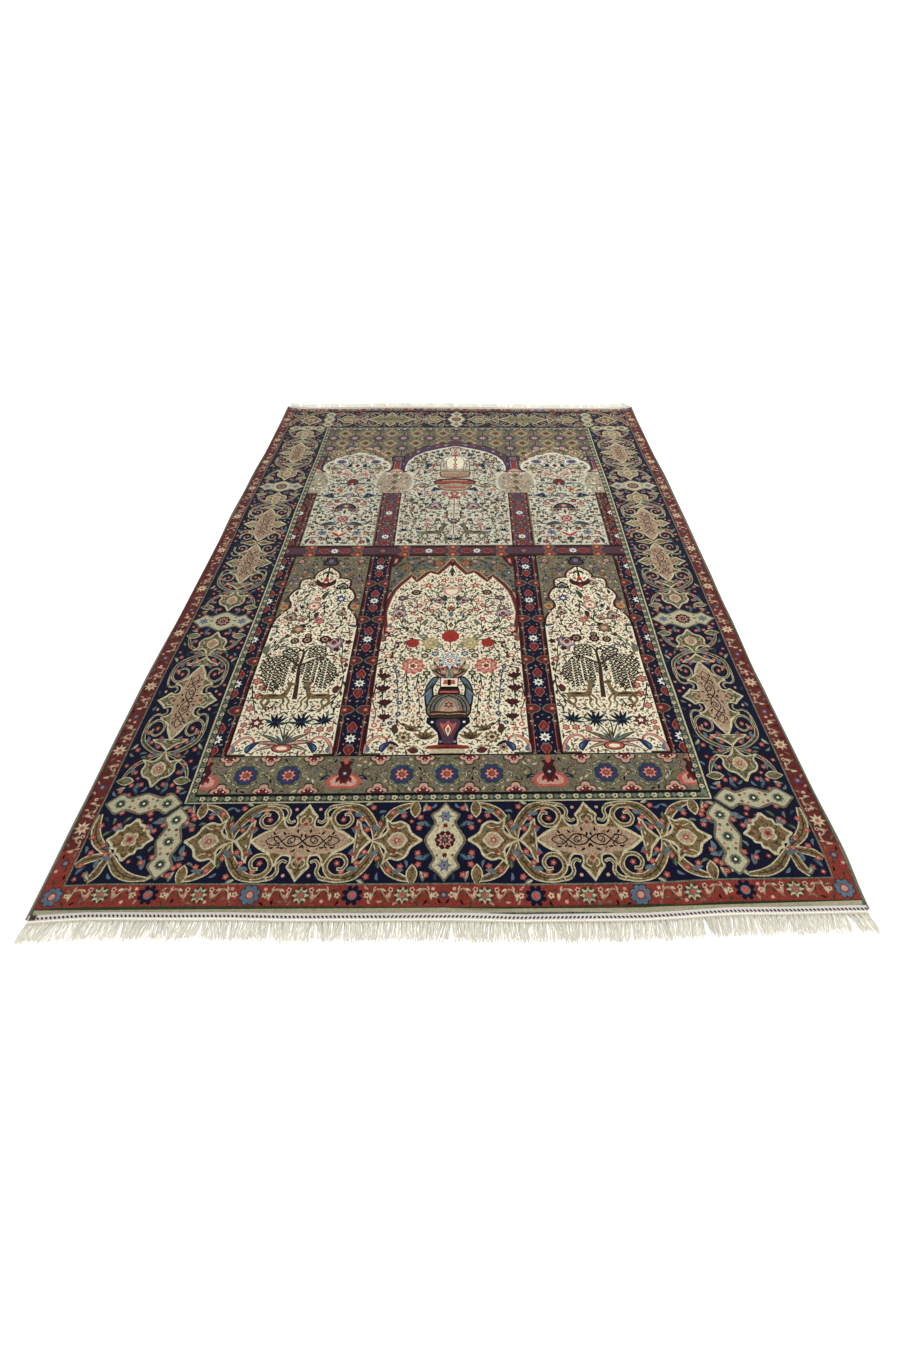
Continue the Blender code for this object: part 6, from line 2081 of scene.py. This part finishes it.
def fringe_lines(out, length, left_lean, right_lean, sway, sway_pitch):
    """The path of every yarn of a fringe, from its knot to its tip on the floor, and the painted shade along
    it.
    """
    chance = random.Random(7 + out)
    root_v = out * (KNOT_ROW_MIDDLE + KNOT_ROW_WIDTH / 2.0)
    strands = []
    left_in_lock = 0
    for i in range(KNOTS_PER_END):
        x, y = (float(c) for c in place((2.0 * i + 1.0) / KNOTS_PER_END - 1.0, root_v))
        lean = left_lean * math.exp(-(x + HALF_WIDTH) / 0.06)
        lean += right_lean * math.exp((x - HALF_WIDTH) / 0.03)
        if left_in_lock == 0:
            in_lock = left_in_lock = chance.randint(4, 9)
            lock_lean = chance.uniform(-8.0, 5.0)
        left_in_lock -= 1
        lock_lean_here = lock_lean + 2.0 * (left_in_lock - 0.5 * (in_lock - 1))
        lean += sway * math.sin(math.tau * x / sway_pitch) + lock_lean_here + chance.uniform(-2.5, 2.5)
        strands.append((x, y, math.radians(lean), length * chance.uniform(0.9, 1.0)))
    room = min((FRINGE_REACH - abs(y)) / (reach * math.cos(lean)) for x, y, lean, reach in strands)
    lines = []
    shades = []
    # painted shade near the knots: deep on the near fringe, slight on the far one, which therefore shows
    # paler
    deepest_painted_shade = 0.62 if out < 0 else 0.2
    for x, y, lean, reach in strands:
        base = float(lift(x, y))
        gathered = chance.uniform(0.75, 1.0)
        for j in range(YARNS_PER_KNOT):
            overlain = OVERLAIN[j] if j < len(OVERLAIN) else 0.0
            tone = chance.choice((1.0, 1.0, 0.97, 0.92, 0.82))
            slot_at = (j + 0.5) / YARNS_PER_KNOT * 2.0 - 1.0
            spread = chance.uniform(0.0055, 0.0135) * gathered
            bow = chance.uniform(-0.0030, 0.0030)
            wave = chance.uniform(0.0, math.tau)
            run = reach * room * chance.uniform(0.70, 1.0)
            stack = chance.choice((0.0, 0.0, 1.0, 1.8)) * FRINGE_YARN_RADIUS
            line = []
            for k in range(7):
                t = k / 6
                width = 0.0066 - 0.0014 * math.sin(min(t * 2.5, 1.0) * math.pi / 2)
                width += (spread - 0.0046) * t * t
                aside = slot_at * width + bow * math.sin(math.pi * t)
                aside += 0.0011 * t * math.sin(wave + 7.0 * t)
                ahead = run * t - 0.004 * (1.0 - t)
                rise = base * (1.0 - t) ** 2 + FRINGE_YARN_RADIUS + stack * (1.0 - 0.6 * t) + 0.0001
                line.append((
                    x + math.sin(lean) * ahead + math.cos(lean) * aside,
                    y + out * (math.cos(lean) * ahead - math.sin(lean) * aside), rise,
                ))
            lines.append(line)
            # painted shade on the first yarns near the knot, times each yarn's own random tone
            shades += [tone * (1.0 - deepest_painted_shade * overlain * max(0.0, 1.0 - k / 4.0)) for k in range(7)]
    return lines, shades


for fringe_name, out, *shape in FRINGES:
    yarn_lines, yarn_shades = fringe_lines(out, *shape)
    yarn_mesh = fringe_yarns.grow(fringe_name + "_yarns", yarn_lines, shades=yarn_shades)
    add_piece(fringe_name + "_yarns", yarn_mesh, fringe_cotton, fringe_name, 80.0)
    knot_us = np.linspace(-0.996, 0.996, 301)
    knot_mesh = knotting.grow(
        fringe_name + "_knots", [cloth_line(knot_us, out * KNOT_ROW_MIDDLE, KNOT_LINE_HEIGHT)],
    )
    add_piece(fringe_name + "_knots", knot_mesh, knot_cotton, fringe_name, 80.0)

# ----------------------------------------------------------------------------------------
# The studio. A plain white floor that curves up into a wall, soft light from above, and the
# camera, which stands where the photo was taken.

SWEEP_HALF_WIDTH = 30.0
FLOOR_LEVEL = -0.0004
SWEEP_NEAR = -8.0
SWEEP_BEND = 9.0             # where the floor starts to curve up into the wall
SWEEP_RADIUS = 3.0
SWEEP_TOP = 14.0
profile = [(SWEEP_NEAR, FLOOR_LEVEL), (SWEEP_BEND, FLOOR_LEVEL)]
for k in range(1, 13):
    angle = k / 12 * math.pi / 2
    profile.append((SWEEP_BEND + SWEEP_RADIUS * math.sin(angle), SWEEP_RADIUS * (1.0 - math.cos(angle))))
profile.append((SWEEP_BEND + SWEEP_RADIUS, SWEEP_TOP))
sweep_mesh = bpy.data.meshes.new("paper_sweep")
sweep_mesh.from_pydata(
    [(x, y, z) for y, z in profile for x in (-SWEEP_HALF_WIDTH, SWEEP_HALF_WIDTH)], [],
    [(2 * k, 2 * k + 1, 2 * k + 3, 2 * k + 2) for k in range(len(profile) - 1)],
)
sweep = bpy.data.objects.new("paper_sweep", sweep_mesh)
bpy.context.scene.collection.objects.link(sweep)
sweep_look = Nodes("white_paper")
sweep_look.shader.inputs["Base Color"].default_value = (0.9, 0.9, 0.9, 1.0)
sweep_look.shader.inputs["Roughness"].default_value = 0.9
sweep_look.shader.inputs["Emission Color"].default_value = (1.0, 1.0, 1.0, 1.0)
sweep_look.shader.inputs["Emission Strength"].default_value = 0.6
sweep_mesh.materials.append(sweep_look.material)

world = bpy.data.worlds.new("studio")
world.use_nodes = True
world.node_tree.nodes["Background"].inputs["Color"].default_value = (1.0, 1.0, 1.0, 1.0)
world.node_tree.nodes["Background"].inputs["Strength"].default_value = 0.56
bpy.context.scene.world = world


def soft_light(name, place_at, aim, size, power):
    light = bpy.data.lights.new(name, "AREA")
    light.shape = "SQUARE"
    light.size = size
    light.energy = power
    lamp = bpy.data.objects.new(name, light)
    lamp.location = place_at
    lamp.rotation_euler = (Vector(aim) - Vector(place_at)).to_track_quat("-Z", "Y").to_euler()
    bpy.context.scene.collection.objects.link(lamp)


soft_light("key_light", (2.6, 0.6, 3.2), (0.4, 0.5, 0.0), 1.8, 52.0)

LENS_PIXELS = 598.61         # focal length, in pixels of a 900 by 1350 picture
SHIFT_PIXELS = -30.14
PICTURE_LONG_SIDE = 1350
SENSOR = 36.0
camera_data = bpy.data.cameras.new("camera")
camera_data.sensor_width = SENSOR
camera_data.lens = LENS_PIXELS / PICTURE_LONG_SIDE * SENSOR
camera_data.shift_x = SHIFT_PIXELS / PICTURE_LONG_SIDE
camera = bpy.data.objects.new("camera", camera_data)
camera.location = (0.0507, -2.1316, 1.4543)
pitch, yaw, roll = (math.radians(a) for a in (45.75, 1.308, 0.531))
forward = Vector((math.sin(yaw) * math.cos(pitch), math.cos(yaw) * math.cos(pitch), -math.sin(pitch)))
level = Vector((math.cos(yaw), -math.sin(yaw), 0.0))
upright = level.cross(forward)
right = level * math.cos(roll) + upright * math.sin(roll)
up = -level * math.sin(roll) + upright * math.cos(roll)
rotation = camera.rotation_euler.to_matrix()
for axis, vector in enumerate((right, up, -forward)):
    for row in range(3):
        rotation[row][axis] = vector[row]
camera.rotation_euler = rotation.to_euler()
bpy.context.scene.collection.objects.link(camera)
bpy.context.scene.camera = camera
bpy.context.scene.view_settings.view_transform = "Standard"
